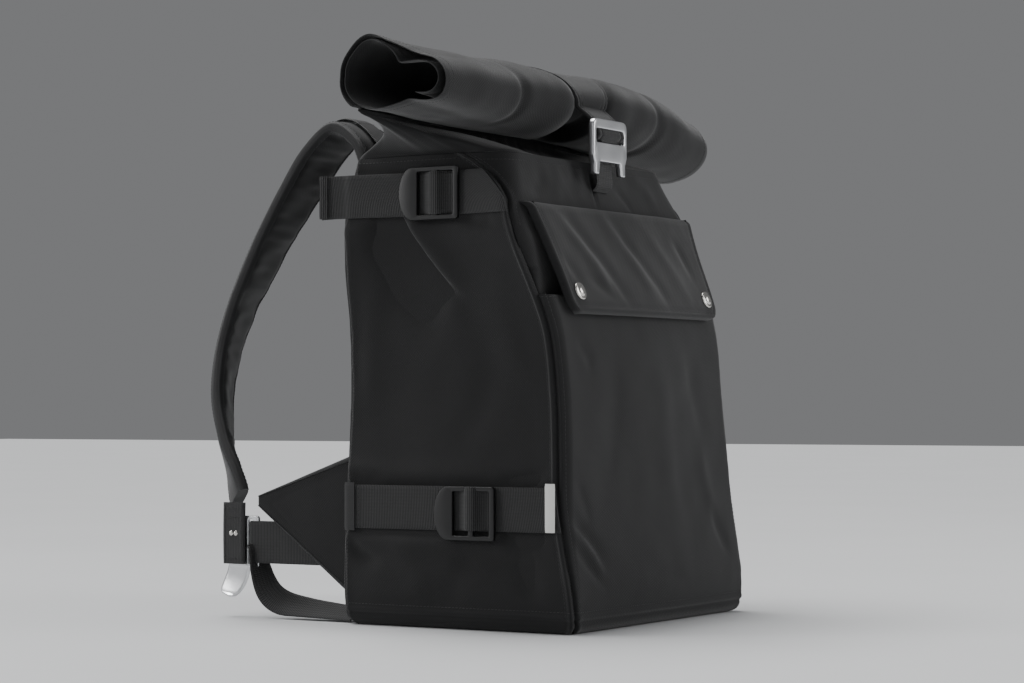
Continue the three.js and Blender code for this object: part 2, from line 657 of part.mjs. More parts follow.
// Hook at the tab's tip: a frame with a slot above a wide bar, and two prongs below
const hookFoot = hookTop - hookHeight;
const barTop = hookTop - hookTopRail - hookSlotHeight;
const barFoot = barTop - hookBarHeight;
const prong = (hookWidth - loopWidth) / 2 - clearance * 8;
const hookShape = new THREE.Shape();
const corner = hookRail * 1.6;
hookShape.moveTo(-hookWidth / 2, hookFoot);
hookShape.lineTo(-hookWidth / 2 + prong, hookFoot);
hookShape.lineTo(-hookWidth / 2 + prong, barFoot);
hookShape.lineTo(hookWidth / 2 - prong, barFoot);
hookShape.lineTo(hookWidth / 2 - prong, hookFoot);
hookShape.lineTo(hookWidth / 2, hookFoot);
hookShape.lineTo(hookWidth / 2, hookTop - corner);
hookShape.quadraticCurveTo(hookWidth / 2, hookTop, hookWidth / 2 - corner, hookTop);
hookShape.lineTo(-hookWidth / 2 + corner, hookTop);
hookShape.quadraticCurveTo(-hookWidth / 2, hookTop, -hookWidth / 2, hookTop - corner);
hookShape.holes.push(roundedBox(new THREE.Path(), -hookWidth / 2 + hookRail, hookWidth / 2 - hookRail,
  barTop, hookTop - hookTopRail, hookRail * 0.6));
const hookY = -hookFrontY + hookThickness / 2;
addPiece('roll_hook', uprightPlate(hookShape, hookThickness).translate(0, hookY, 0), bright);

// A loop of webbing round a bar: out along one side of a plate, round its edge and back on the other side.
// Points are given in a plane: u along the plate, w across it.
function loopPath(edge, gap, outLength, backLength) {
  const r = gap + webThickness / 2;
  const turn = [-90, -60, -30, 0, 30, 60, 90].map((deg) => deg * Math.PI / 180)
    .map((angle) => [edge + r * Math.cos(angle), r * Math.sin(angle)]);
  return [[edge - outLength, -r], [edge - outLength / 2, -r], ...turn, [edge - backLength, r]];
}

// Webbing up from the flap, behind the hook's bar and over the bar's upper edge
const loopSeat = frontAt(outline(flapTop + webThickness * 3), 0) - clearance - webThickness / 2;
const loopTurn = loopPath(barTop + clearance, hookThickness / 2 + clearance, hookBarHeight + webThickness,
  webThickness)
  .map(([u, w]) => [hookY - w, u]);
const loopStations = [[loopSeat, flapTop + webThickness * 3],
  [THREE.MathUtils.lerp(loopSeat, loopTurn[0][0], 0.5), THREE.MathUtils.lerp(flapTop, loopTurn[0][1], 0.6)],
  ...loopTurn].map(([y, z]) => ({ at: new THREE.Vector3(0, y, z), across: new THREE.Vector3(1, 0, 0),
  width: loopWidth, thickness: webThickness }));
addPiece('front_web', band(loopStations), webBlack);

// How far out the side stands under a band of webbing
function sideReach(y, height, width = webWidth) {
  const levels = [-0.5, -0.25, 0, 0.25, 0.5].map((share) => height + share * width);
  return Math.max(...levels.map((z) => sideAt(outline(z), y)));
}

function sideBand(sign, height, places, width, thickness, lift = clearance * 2) {
  const edge = back - backCorner * bagDepth * 0.6;
  return places.map((y) => {
    const place = Math.min(y, edge);
    const slope = y > edge ? 0 : sideReach(y + 0.5, height, width) - sideReach(y - 0.5, height, width);
    const away = (lift + thickness / 2) / Math.hypot(1, slope);
    return { at: new THREE.Vector3(sign * (sideReach(place, height, width) + away), y - away * slope, height),
      across: new THREE.Vector3(0, 0, 1), width, thickness };
  });
}

const easedSteps = (from, to, count) => steps(0, Math.PI, count)
  .map((angle) => THREE.MathUtils.lerp(from, to, (1 - Math.cos(angle)) / 2));
const frontSeamY = (height) => cornerPoint(outline(height), outline(height).seam)[1];

// Ladder lock: two slots for the webbing, and a half round pull at its rear
function lockShape() {
  const [l, h] = [lockLength / 2, lockHeight / 2];
  const shape = new THREE.Shape();
  shape.moveTo(-l, -h);
  shape.lineTo(l, -h);
  shape.absellipse(l, 0, lockTab, h, -Math.PI / 2, Math.PI / 2, false, 0);
  shape.lineTo(-l, h);
  shape.lineTo(-l, -h);
  const slot = (lockLength - 3 * lockRail) / 2;
  for (const from of [-l + lockRail, lockRail / 2]) {
    shape.holes.push(roundedBox(new THREE.Path(), from, from + slot, -h + lockRail * 0.8,
      h - lockRail * 0.8, lockRail * 0.3));
  }
  return shape;
}

for (const [side, sign] of [['left', -1], ['right', 1]]) {
  const lowerFrom = frontSeamY(lowerStrapHeight) + webThickness;
  const lowerY = easedSteps(lowerFrom, back - backCorner * bagDepth * 0.6, 14);
  const lowerStrap = band(sideBand(sign, lowerStrapHeight, lowerY, webWidth, webThickness));
  addPiece(`lower_strap_${side}`, lowerStrap, webBlack);
  const upperFrom = frontSeamY(upperStrapHeight) + webThickness * 3;
  const upperOn = easedSteps(upperFrom, back - webThickness * 2, 14);
  const upperY = [...upperOn, back + freeEnd / 2, back + freeEnd];
  const upperStrap = band(sideBand(sign, upperStrapHeight, upperY, webWidth, webThickness));
  addPiece(`upper_strap_${side}`, upperStrap, webBlack);
  const locks = [['lower', lowerStrapHeight - lowerLockDrop, lowerLockY],
    ['upper', upperStrapHeight, upperLockY]];
  for (const [level, height, y] of locks) {
    const reach = Math.max(...steps(y - lockLength / 2, y + lockLength / 2 + lockTab, 8)
      .map((place) => sideReach(place, height)));
    const geometry = sidePlate(lockShape(), lockThickness);
    const x = reach + webThickness + clearance * 3 + lockThickness / 2;
    addPiece(`ladder_lock_${level}_${side}`, geometry.translate(sign * x, y, height), plastic);
  }
}

// Blank tag sewn in the left front seam, over the lower strap's end
const labelFrom = frontSeamY(lowerStrapHeight) + webThickness;
const labelPlaces = steps(labelFrom, labelFrom + labelReach, 3);
addPiece('side_label', band(sideBand(-1, lowerStrapHeight + webThickness, labelPlaces, labelHeight,
  labelThickness, webThickness + clearance * 3)), white);

// Straps that carry the bag, and what they hook on to, the same on both sides
function between(rows, parts) {
  const numbered = rows.map((row, i) => ({ place: i / (rows.length - 1), ...row }));
  return steps(0, 1, (rows.length - 1) * parts).map((at) => readTable(numbered, 'place', at));
}

function strapAt(sign, station) {
  const out = station.out * half;
  const angle = station.twist * Math.PI / 2;
  const [y, z] = [back + station.behind * strapReach, station.height * shoulderHeight];
  return { at: new THREE.Vector3(sign * out, y, z),
    across: new THREE.Vector3(Math.cos(angle), -sign * Math.sin(angle), 0),
    width: station.wide * strapWidth, thickness: station.thick * strapThickness };
}

for (const [side, sign] of [['left', -1], ['right', 1]]) {
  const stations = between(strapStations, 2).map((station) => strapAt(sign, station));
  stations.forEach((s, i) => {
    if (sign > 0) s.at.y -= rightTuck * Math.sin(Math.PI * i / (stations.length - 1));
  });
  for (const s of stations) s.at.y = Math.max(s.at.y, back + clearance + s.thickness / 2);
  addPiece(`shoulder_strap_${side}`, band(stations, 0.8), black);

  // Webbing on the strap's upper face, from the bag's top edge over the strap's crest
  const crest = stations.slice(4, 11).map((s, i, list) => {
    const next = list[Math.min(i + 1, list.length - 1)].at;
    const along = next.clone().sub(list[Math.max(i - 1, 0)].at).normalize();
    const up = new THREE.Vector3(1, 0, 0).cross(along);
    if (up.z < 0) up.negate();
    return s.at.clone().addScaledVector(up, s.thickness / 2 + clearance * 3.5 + webThickness / 2);
  });
  const seam = outline(shoulderHeight).back + clearance + webThickness / 2;
  const foot = [clearance * 4, collarUpstand * 2].map((rise) => new THREE.Vector3(crest[0].x, seam,
    shoulderHeight + rise));
  const riders = [...foot, ...crest].map((at) => ({ at, across: new THREE.Vector3(1, 0, 0),
    width: lifterWidth, thickness: webThickness }));
  addPiece(`lifter_web_${side}`, band(riders), webBlack);

  // Wing: a triangle of cloth sewn along the bag's rear corner
  const outer = half - wingInset;
  const rootAt = (z) => Math.max(...[0, wingThickness].map((x) => backAt(outline(z), outer - x))) + clearance;
  const wingFace = (x) => steps(0, 1, 4).map((u) => steps(0, 1, 5).map((w) => {
    const z = THREE.MathUtils.lerp(wingFoot + w * wingHeight, wingFoot + wingHeight * 0.63 + w * wingTip, u);
    return new THREE.Vector3(sign * x, THREE.MathUtils.lerp(rootAt(z), back + wingLength, u), z);
  }));
  addPiece(`wing_${side}`, sheet(wingFace(outer), wingFace(outer - wingThickness)), black);

  // Webbing from under the wing, round the hook's bar and back
  const plateX = outer - wingThickness - clearance - webThickness - clearance - strapHookThickness / 2;
  const barEdge = back + wingLength + strapHookBar + clearance * 8;
  const webPath = loopPath(barEdge, strapHookThickness / 2 + clearance, barEdge - back - wingWebRoot,
    wingWebRoot / 2);
  const webStations = webPath.map(([u, w]) => ({ at: new THREE.Vector3(sign * (plateX - w), u, wingWebHeight),
    across: new THREE.Vector3(0, 0, 1), width: webWidth, thickness: webThickness }));
  addPiece(`wing_web_${side}`, band(webStations), webBlack);

  // Hook at the strap's end: a slot for the webbing, a plate under the tab, and a tongue below
  const frame = webWidth / 2 + clearance * 4;
  const rail = strapHookThickness;
  const barStart = barEdge - strapHookBar + clearance;
  const slotEnd = barEdge + webThickness * 2 + clearance * 3;
  const plateEnd = barStart + strapHookLength;
  const shape = new THREE.Shape();
  shape.moveTo(barStart, wingWebHeight - frame - rail);
  shape.lineTo(barStart, wingWebHeight + frame + rail);
  shape.lineTo(plateEnd, wingWebHeight + frame + rail);
  for (const p of tongueOutline) {
    shape.lineTo(barStart + p.along * strapHookLength, wingWebHeight - frame - rail - p.drop * tongueDrop);
  }
  shape.holes.push(roundedBox(new THREE.Path(), barEdge, slotEnd, wingWebHeight - frame,
    wingWebHeight + frame, rail / 3));
  const hook = sidePlate(shape, strapHookThickness);
  addPiece(`strap_hook_${side}`, hook.translate(sign * plateX, 0, 0), bright);

  // Tab under the strap's end, riveted to the hook's plate
  const last = stations[stations.length - 1];
  const tabCentre = (slotEnd + rail + plateEnd) / 2 + clearance * 4;
  const tabOut = plateX + strapHookThickness / 2 + clearance + tabThickness / 2;
  const tabTop = last.at.z - strapThickness / 4;
  addPiece(`strap_tab_${side}`, band([tabTop, tabTop - endTabLength / 2, tabTop - endTabLength].map((z) => ({
    at: new THREE.Vector3(sign * tabOut, tabCentre, z), across: new THREE.Vector3(0, 1, 0),
    width: endTabWidth, thickness: tabThickness }))), webBlack);
  const rivetProfile = [[0, 0], [0.5, 0], [0.45, 0.15], [0.25, 0.25], [0, 0.28]]
    .map(([r, h]) => new THREE.Vector2(r * rivetDiameter, h * rivetDiameter));
  const rivet = new THREE.LatheGeometry(rivetProfile, 14).rotateZ(-sign * Math.PI / 2);
  addPiece(`strap_rivet_${side}`, rivet.translate(sign * (tabOut + tabThickness / 2 + clearance), tabCentre,
    tabTop - endTabLength / 2), bright);

  // Loose webbing down to the ground and back to the bag's corner
  const tail = between(tailStations, 3).map((s) => {
    const lean = s.lean * Math.PI / 2;
    return { at: new THREE.Vector3(sign * (plateX - s.lean * tailWidth / 4), back + s.behind * wingLength,
      s.height * wingWebHeight), across: new THREE.Vector3(-sign * Math.sin(lean), 0, Math.cos(lean)),
    width: s.wide * tailWidth, thickness: webThickness };
  });
  addPiece(`tail_web_${side}`, band(tail), webBlack);
}

export default bag;
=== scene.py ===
# Rolltop backpack of black nylon, standing on its base. Metres; X across the bag, -Y its front, +Z up.
import math
from types import SimpleNamespace

import bmesh
import bpy
import numpy as np
from mathutils import Matrix, Vector, noise


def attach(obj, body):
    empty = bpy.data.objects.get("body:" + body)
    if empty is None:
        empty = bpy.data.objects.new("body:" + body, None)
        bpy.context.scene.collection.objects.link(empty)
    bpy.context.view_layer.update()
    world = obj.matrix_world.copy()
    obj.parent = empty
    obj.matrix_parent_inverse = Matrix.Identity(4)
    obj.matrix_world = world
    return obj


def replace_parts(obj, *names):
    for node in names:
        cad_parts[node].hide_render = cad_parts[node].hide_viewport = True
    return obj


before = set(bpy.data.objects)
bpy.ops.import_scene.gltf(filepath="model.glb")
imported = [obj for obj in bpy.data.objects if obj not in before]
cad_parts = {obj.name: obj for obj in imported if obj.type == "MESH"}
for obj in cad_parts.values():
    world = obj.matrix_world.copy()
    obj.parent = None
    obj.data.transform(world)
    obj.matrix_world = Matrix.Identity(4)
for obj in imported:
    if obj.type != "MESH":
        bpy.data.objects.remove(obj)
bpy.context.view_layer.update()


# ------------------------------------------------------------------------------------------ camera
# A long lens close to the floor, before the bag's left front corner, as in the photograph.
VIEW_FROM = Vector((-2.0316, -1.2266, 0.1938))
VIEW_TOWARDS = Vector((0.84856, 0.52856, 0.02377))
VIEW_ROLL = math.radians(-0.12)
LENS_MM = 91.77

camera_data = bpy.data.cameras.new("camera")
camera_data.lens = LENS_MM
camera_data.sensor_width = 36
camera = bpy.data.objects.new("camera", camera_data)
turn = VIEW_TOWARDS.to_track_quat("-Z", "Y").to_matrix().to_4x4()
camera.matrix_world = Matrix.Translation(VIEW_FROM) @ turn @ Matrix.Rotation(VIEW_ROLL, 4, "Z")
bpy.context.scene.collection.objects.link(camera)
bpy.context.scene.camera = camera


# ----------------------------------------------------------------------------------- floor and light
# A plain pale studio floor and an even pale surround. A broad soft light from above and a little behind gives
# the roll's top and the upper edges their shine; softboxes fill the front and light the strap from behind.
FLOOR_HEX = "C9CACB"
STUDIO_HEX = "C4C5C7"
STUDIO_STRENGTH = 0.34
OVERHEAD_WATTS, OVERHEAD_FROM, OVERHEAD_SPREAD = 3.4, (0.1, 0.55, 1.5), 38
# name, centre, aimed at, width, height, watts
SOFTBOXES = [
    ("right_front", (0.9, -2.2, 1.2), (0, -0.1, 0.25), 1.4, 1.4, 26),
    ("left_fill", (-2.4, 0.1, 1.2), (0, 0, 0.25), 1.2, 1.2, 5),
    ("behind_left", (-1.3, 1.7, 0.9), (-0.1, 0.2, 0.25), 0.5, 1.2, 12),
]


def linear(code):
    """A colour written as sRGB hex, in the linear values that Blender uses."""
    channels = [int(code[i:i + 2], 16) / 255 for i in (0, 2, 4)]
    return (*[c / 12.92 if c <= 0.04045 else ((c + 0.055) / 1.055) ** 2.4 for c in channels], 1)


def add(tree, kind, inputs=None, **settings):
    """Adds a node to a tree, with its settings, and with values or links for its inputs."""
    node = tree.nodes.new(kind)
    for name, value in settings.items():
        setattr(node, name, value)
    for key, value in (inputs or {}).items():
        if isinstance(value, bpy.types.NodeSocket):
            tree.links.new(value, node.inputs[key])
        else:
            node.inputs[key].default_value = value
    return node


def finish_named(name):
    """A new material, its tree and its shader's node."""
    material = bpy.data.materials.new(name)
    material.use_nodes = True
    tree = material.node_tree
    return material, tree, tree.nodes["Principled BSDF"]


# Matt seamless paper: even, very slightly mottled, no gloss.
seamless_paper, tree, shader = finish_named("seamless_paper")
place = add(tree, "ShaderNodeTexCoord").outputs["Object"]
mottle = add(tree, "ShaderNodeTexNoise", {"Vector": place, "Scale": 3.0, "Detail": 3.0}).outputs["Fac"]
tone = add(tree, "ShaderNodeMix", {0: mottle, 6: linear(FLOOR_HEX), 7: linear("CFD0D1")}, data_type="RGBA")
tree.links.new(tone.outputs[2], shader.inputs["Base Color"])
shader.inputs["Roughness"].default_value = 0.85

floor_mesh = bpy.data.meshes.new("floor")
floor_mesh.from_pydata([(-9, -9, 0), (9, -9, 0), (9, 9, 0), (-9, 9, 0)], [], [(0, 1, 2, 3)])
floor_mesh.materials.append(seamless_paper)
floor = bpy.data.objects.new("floor", floor_mesh)
bpy.context.scene.collection.objects.link(floor)

studio = bpy.data.worlds.new("studio")
studio.use_nodes = True
studio.node_tree.nodes["Background"].inputs["Color"].default_value = linear(STUDIO_HEX)
studio.node_tree.nodes["Background"].inputs["Strength"].default_value = STUDIO_STRENGTH
bpy.context.scene.world = studio
overhead = bpy.data.lights.new("overhead", "SUN")
overhead.energy, overhead.angle = OVERHEAD_WATTS, math.radians(OVERHEAD_SPREAD)
overhead_holder = bpy.data.objects.new("overhead", overhead)
overhead_holder.matrix_world = Vector(OVERHEAD_FROM).to_track_quat("Z", "Y").to_matrix().to_4x4()
bpy.context.scene.collection.objects.link(overhead_holder)
for name, centre, aim, width, height, watts in SOFTBOXES:
    lamp = bpy.data.lights.new(name, "AREA")
    lamp.shape, lamp.size, lamp.size_y, lamp.energy = "RECTANGLE", width, height, watts
    holder = bpy.data.objects.new(name, lamp)
    aim_turn = (Vector(aim) - Vector(centre)).to_track_quat("-Z", "Y")
    holder.matrix_world = Matrix.Translation(centre) @ aim_turn.to_matrix().to_4x4()
    bpy.context.scene.collection.objects.link(holder)


# ------------------------------------------------------------------------------------ walls of the bag
# The bag's walls are heavy black nylon, cut as front, pocket, sides, back and base and sewn face to face,
# so each seam stands as a narrow ridge. The bag is loosely filled: the cloth swells, sags and creases.
BAG_WIDTH, BAG_DEPTH, SHOULDER = 0.310, 0.237, 0.410
CLOTH = 0.0022
BACK_CORNER = 0.04
GAP = 0.0004
# height, half width, front, back, swell of the front, sag of the sides: shares of the bag's sizes
SECTIONS = [
    (0.002, 0.478, 0.47, 0.48, 0, 0),
    (0.012, 0.492, 0.494, 0.495, 0, 0),
    (0.03, 0.5, 0.503, 0.5, 0.004, 0),
    (0.085, 0.505, 0.503, 0.502, 0.01, 0),
    (0.15, 0.503, 0.49, 0.502, 0.014, 0.004),
    (0.256, 0.497, 0.468, 0.5, 0.014, 0.01),
    (0.37, 0.485, 0.458, 0.5, 0.016, 0.01),
    (0.49, 0.474, 0.443, 0.5, 0.02, 0.008),
    (0.6, 0.477, 0.425, 0.5, 0.02, 0.012),
    (0.655, 0.483, 0.405, 0.5, 0.016, 0.02),
    (0.72, 0.497, 0.368, 0.5, 0.008, 0.034),
    (0.8, 0.507, 0.31, 0.5, 0.002, 0.046),
    (0.87, 0.503, 0.262, 0.5, 0, 0.034),
    (0.9, 0.493, 0.245, 0.498, 0, 0.02),
    (0.94, 0.475, 0.22, 0.494, 0, 0.006),
    (0.97, 0.468, 0.2, 0.488, 0, 0),
    (1, 0.462, 0.185, 0.476, 0, 0),
]
# height, the front corner's reach along front and side, and where its seam lies, 0 on the front, 1 on the side
CORNERS = [
    (0.002, 0.036, 0.047, 0.4),
    (0.08, 0.036, 0.047, 0.5),
    (0.2, 0.036, 0.047, 0.72),
    (0.3, 0.036, 0.047, 0.84),
    (0.49, 0.036, 0.047, 0.85),
    (0.6, 0.036, 0.047, 0.85),
    (0.655, 0.038, 0.05, 0.84),
    (0.72, 0.04, 0.054, 0.8),
    (0.8, 0.042, 0.058, 0.74),
    (0.87, 0.045, 0.06, 0.68),
    (0.9, 0.048, 0.062, 0.66),
    (0.94, 0.056, 0.08, 0.86),
    (0.97, 0.066, 0.1, 1.04),
    (1, 0.08, 0.12, 1.5),
]


def smooth_table(rows):
    """Reads a table's columns at any place in its first column, on a smooth curve."""
    rows = np.array(rows, float)
    x, last = rows[:, 0], len(rows) - 1

    def read(at):
        at = np.atleast_1d(np.asarray(at, float))
        i = np.searchsorted(x[1:-1], at, side="left")
        before, after = np.maximum(i - 1, 0), np.minimum(i + 2, last)
        span = (x[i + 1] - x[i])[:, None]
        t = np.clip((at[:, None] - x[i][:, None]) / span, 0, 1)
        p, q = rows[i], rows[i + 1]
        slope_p = (q - rows[before]) / (x[i + 1] - x[before])[:, None] * span
        slope_q = (rows[after] - p) / (x[after] - x[i])[:, None] * span
        made = (p * (2 * t**3 - 3 * t**2 + 1) + slope_p * (t**3 - 2 * t**2 + t)
                + q * (3 * t**2 - 2 * t**3) + slope_q * (t**3 - t**2))
        return made[:, 1:].T

    return read


read_section, read_corner = smooth_table(SECTIONS), smooth_table(CORNERS)


def outline(height, inset=0.0, front_inset=None):
    """The bag's outline at one height, drawn in by an inset."""
    half, front, back, swell, sag = read_section(height / SHOULDER)[:, 0]
    reach_x, reach_y, seam = read_corner(height / SHOULDER)[:, 0]
    front_inset = inset if front_inset is None else front_inset
    return SimpleNamespace(
        half=half * BAG_WIDTH - inset, front=-front * BAG_DEPTH + front_inset, back=back * BAG_DEPTH - inset,
        corner_x=max(reach_x * BAG_WIDTH - inset, 0.002), corner_y=max(reach_y * BAG_DEPTH - inset, 0.002),
        turn=max(BACK_CORNER * BAG_DEPTH - inset, 0.002), seam=seam,
        swell=swell * BAG_DEPTH, sag=sag * BAG_DEPTH)


def rounded(share):
    """How far a round corner draws in at a share of its reach."""
    return 1 - np.sqrt(np.maximum(1 - np.square(share), 0))


def front_at(o, x):
    """Where the front stands at a place across it, on one of the bag's outlines."""
    flat = o.half - o.corner_x
    over = np.maximum(np.abs(x) - flat, 0) / o.corner_x
    swelling = o.swell * np.cos(np.pi / 2 * np.clip(np.abs(x) / flat, 0, 1)) ** 2
    return o.front + o.corner_y * rounded(over) - swelling


def side_at(o, y):
    """How far out the side stands at a place along it, on one of the bag's outlines."""
    start, end = o.front + o.corner_y, o.back - o.turn
    share = np.clip((y - start) / (end - start), 0, 1)
    return (o.half - o.corner_x * rounded(np.clip((start - y) / o.corner_y, 0, 1))
            - o.turn * rounded(np.clip((y - end) / o.turn, 0, 1)) - o.sag * np.sin(np.pi * share))


def along_outline(o, part, shares):
    """Points (x, y) on the right half of the outline: the front, side or back part, at shares of its length."""
    flat_x, start, end = o.half - o.corner_x, o.front + o.corner_y, o.back - o.turn
    bend = min(o.seam, 1) * math.pi / 2
    past = start if o.seam <= 1 else o.front + o.corner_y * o.seam
    round_x = lambda a: flat_x + o.corner_x * np.sin(a)
    round_y = lambda a: o.front + o.corner_y * (1 - np.cos(a))
    if part == "front":
        x, a = np.linspace(0, flat_x, 50), np.linspace(0, bend, 14)[1:]
        y = np.linspace(start, past, 9)[1:] if past > start else np.zeros(0)
        px = np.concatenate([x, round_x(a), side_at(o, y)])
        py = np.concatenate([front_at(o, x), round_y(a), y])
    elif part == "side":
        a = np.linspace(bend, math.pi / 2, 14)[:-1] if bend < math.pi / 2 else np.zeros(0)
        y, b = np.linspace(past, end, 90), np.linspace(0, math.pi / 4, 10)[1:]
        px = np.concatenate([round_x(a), side_at(o, y), o.half - o.turn * (1 - np.cos(b))])
        py = np.concatenate([round_y(a), y, end + o.turn * np.sin(b)])
    else:
        b, x = np.linspace(math.pi / 4, math.pi / 2, 10), np.linspace(o.half - o.turn, 0, 50)[1:]
        px = np.concatenate([o.half - o.turn * (1 - np.cos(b)), x])
        py = np.concatenate([end + o.turn * np.sin(b), np.full(len(x), o.back)])
    walked = np.concatenate([[0], np.cumsum(np.hypot(np.diff(px), np.diff(py)))])
    at = np.asarray(shares) * walked[-1]
    return np.interp(at, walked, px), np.interp(at, walked, py)


def spread(length, fine_start=0.0, fine_end=0.0, step=0.003, fine=0.001):
    """Shares of a length, close together within the fine stretches at its ends."""
    places = [0.0]
    while places[-1] < length - 1e-9:
        near = places[-1] < fine_start or places[-1] > length - fine_end - step
        places.append(min(places[-1] + (fine if near else step), length))
    return np.array(places) / length


def outward_normals(grid, centre):
    """Unit normals of a grid of points, turned away from a centre."""
    normal = np.cross(np.gradient(grid, axis=1), np.gradient(grid, axis=0))
    normal /= np.maximum(np.linalg.norm(normal, axis=2, keepdims=True), 1e-12)
    return normal * (1 if (normal * (grid - centre)).sum() > 0 else -1)


def flat_lengths(grid):
    """Where each point of a grid lies in the cloth before it is bent: metres along and up."""
    along = np.linalg.norm(np.diff(grid, axis=1), axis=2).cumsum(axis=1)
    along = np.concatenate([np.zeros((len(grid), 1)), along], axis=1)
    middle = grid.shape[1] // 2
    up = np.concatenate([[0], np.linalg.norm(np.diff(grid[:, middle], axis=0), axis=1).cumsum()])
    return np.stack([along - along[:, middle:middle + 1], np.repeat(up[:, None], grid.shape[1], 1)], axis=2)


def ripple(points, size, seed):
    """Smooth random waves, -1 to 1, of about the size given, the same on every run."""
    scaled = points.reshape(-1, points.shape[-1]) / size
    if scaled.shape[1] == 2:
        scaled = np.column_stack([scaled, np.zeros(len(scaled))])
    values = [noise.noise(Vector(p) + Vector((seed * 7.31, seed * 3.17, seed * 5.03))) for p in scaled]
    return np.array(values).reshape(points.shape[:-1])


def creases(flat, rows):
    """Folds in millimetres. Each row: from, to, bow, spread on either side, height (minus for a hollow)."""
    made = np.zeros(flat.shape[:-1])
    for start, end, bow, left, right, height in rows:
        a, b = np.array(start) / 1000, np.array(end) / 1000
        way = (b - a) / np.linalg.norm(b - a)
        t = ((flat - a) @ way) / np.linalg.norm(b - a)
        aside = (flat - a) @ np.array([-way[1], way[0]]) - bow / 1000 * 4 * t * (1 - t)
        wide = np.where(aside < 0, left, right) / 1000
        ends = np.clip(np.minimum((t + 0.22) / 0.55, (1.22 - t) / 0.55), 0, 1)
        made += height * np.exp(-np.square(aside / wide)) * ends * ends * (3 - 2 * ends)
    return made


def seam_relief(away, groove, ridge, ridge_at):
    """Relief beside a seam, in millimetres: a groove at the stitches, a ridge of folded cloth beside it."""
    return ridge * np.exp(-np.square((away - ridge_at) / 2.4)) - groove * np.exp(-np.square(away / 1.6))


stitch_lines = []


def sew(*lines):
    """Keeps lines of points along which thread runs, for the stitching at the end."""
    stitch_lines.extend(np.array(line, float) for line in lines)


def inset_line(grid, away, distance, rows=slice(None)):
    """A line down a grid at a distance from its first column's edge, by each point's own distance from it."""
    made = []
    for row, gap in zip(grid[rows], away[rows]):
        rising = np.maximum.accumulate(gap[:len(gap) // 2])
        made.append([np.interp(distance, rising, row[:len(rising), k]) for k in range(3)])
    return np.array(made)


def cloth_piece(name, outer, inner, flat, material, loop=False, painted_edge_light=None):
    """A piece of cloth between its outer and inner faces, its edges closed, its flat lengths as UV."""
    rows, cols = outer.shape[:2]
    count = rows * cols
    points = np.concatenate([outer.reshape(-1, 3), inner.reshape(-1, 3)])
    index = np.arange(count).reshape(rows, cols)
    if loop:
        index = np.concatenate([index, index[:, :1]], axis=1)
    a, b, c, d = index[:-1, :-1], index[:-1, 1:], index[1:, 1:], index[1:, :-1]
    front = np.stack([a, b, c, d], axis=-1).reshape(-1, 4)
    faces = [front, front[:, ::-1] + count]
    edges = [(index[0, :-1], index[0, 1:], 1), (index[-1, :-1], index[-1, 1:], -1)]
    if not loop:
        edges += [(index[:-1, 0], index[1:, 0], -1), (index[:-1, -1], index[1:, -1], 1)]
    for p, q, way in edges:
        strip = np.stack([p, p + count, q + count, q], axis=-1)
        faces.append(strip if way > 0 else strip[:, ::-1])
    faces = np.concatenate(faces)
    mesh = bpy.data.meshes.new(name)
    mesh.from_pydata(points.tolist(), [], faces.tolist())
    along = np.concatenate([flat.reshape(-1, 2)] * 2)[faces.ravel()]
    if loop:
        width = flat[:, -1, 0].mean() + (flat[:, -1, 0] - flat[:, -2, 0]).mean()
        turns = along[:, 0].reshape(-1, 4)
        turns[(turns.max(1) - turns.min(1) > width / 2)[:, None] & (turns < width / 4)] += width
    mesh.uv_layers.new(name="cloth").data.foreach_set("uv", along.astype(np.float32).ravel())
    # A painted highlight along edges and seam ridges, 0 to 1, kept on the points.
    edge_light_values = np.zeros(count) if painted_edge_light is None else np.asarray(painted_edge_light).ravel()
    mesh.attributes.new("painted_edge_light", "FLOAT", "POINT").data.foreach_set("value", np.tile(edge_light_values, 2).astype(np.float32))
    return settle(name, mesh, material)


def settle(name, mesh, material, sharp=50):
    """Makes an object of a mesh, smooth but for its sharp edges, its faces turned outwards."""
    mesh.materials.clear()
    mesh.materials.append(material)
    mesh.validate()
    corners = np.array([v.co for v in mesh.vertices])
    mesh.calc_loop_triangles()
    triangles = np.zeros(len(mesh.loop_triangles) * 3, int)
    mesh.loop_triangles.foreach_get("vertices", triangles)
    p, q, r = corners[triangles.reshape(-1, 3)].transpose(1, 0, 2)
    if (p * np.cross(q, r)).sum() < 0:
        mesh.flip_normals()
    mesh.polygons.foreach_set("use_smooth", np.ones(len(mesh.polygons), bool))
    mesh.set_sharp_from_angle(angle=math.radians(sharp))
    made = bpy.data.objects.new(name, mesh)
    bpy.context.scene.collection.objects.link(made)
    return made


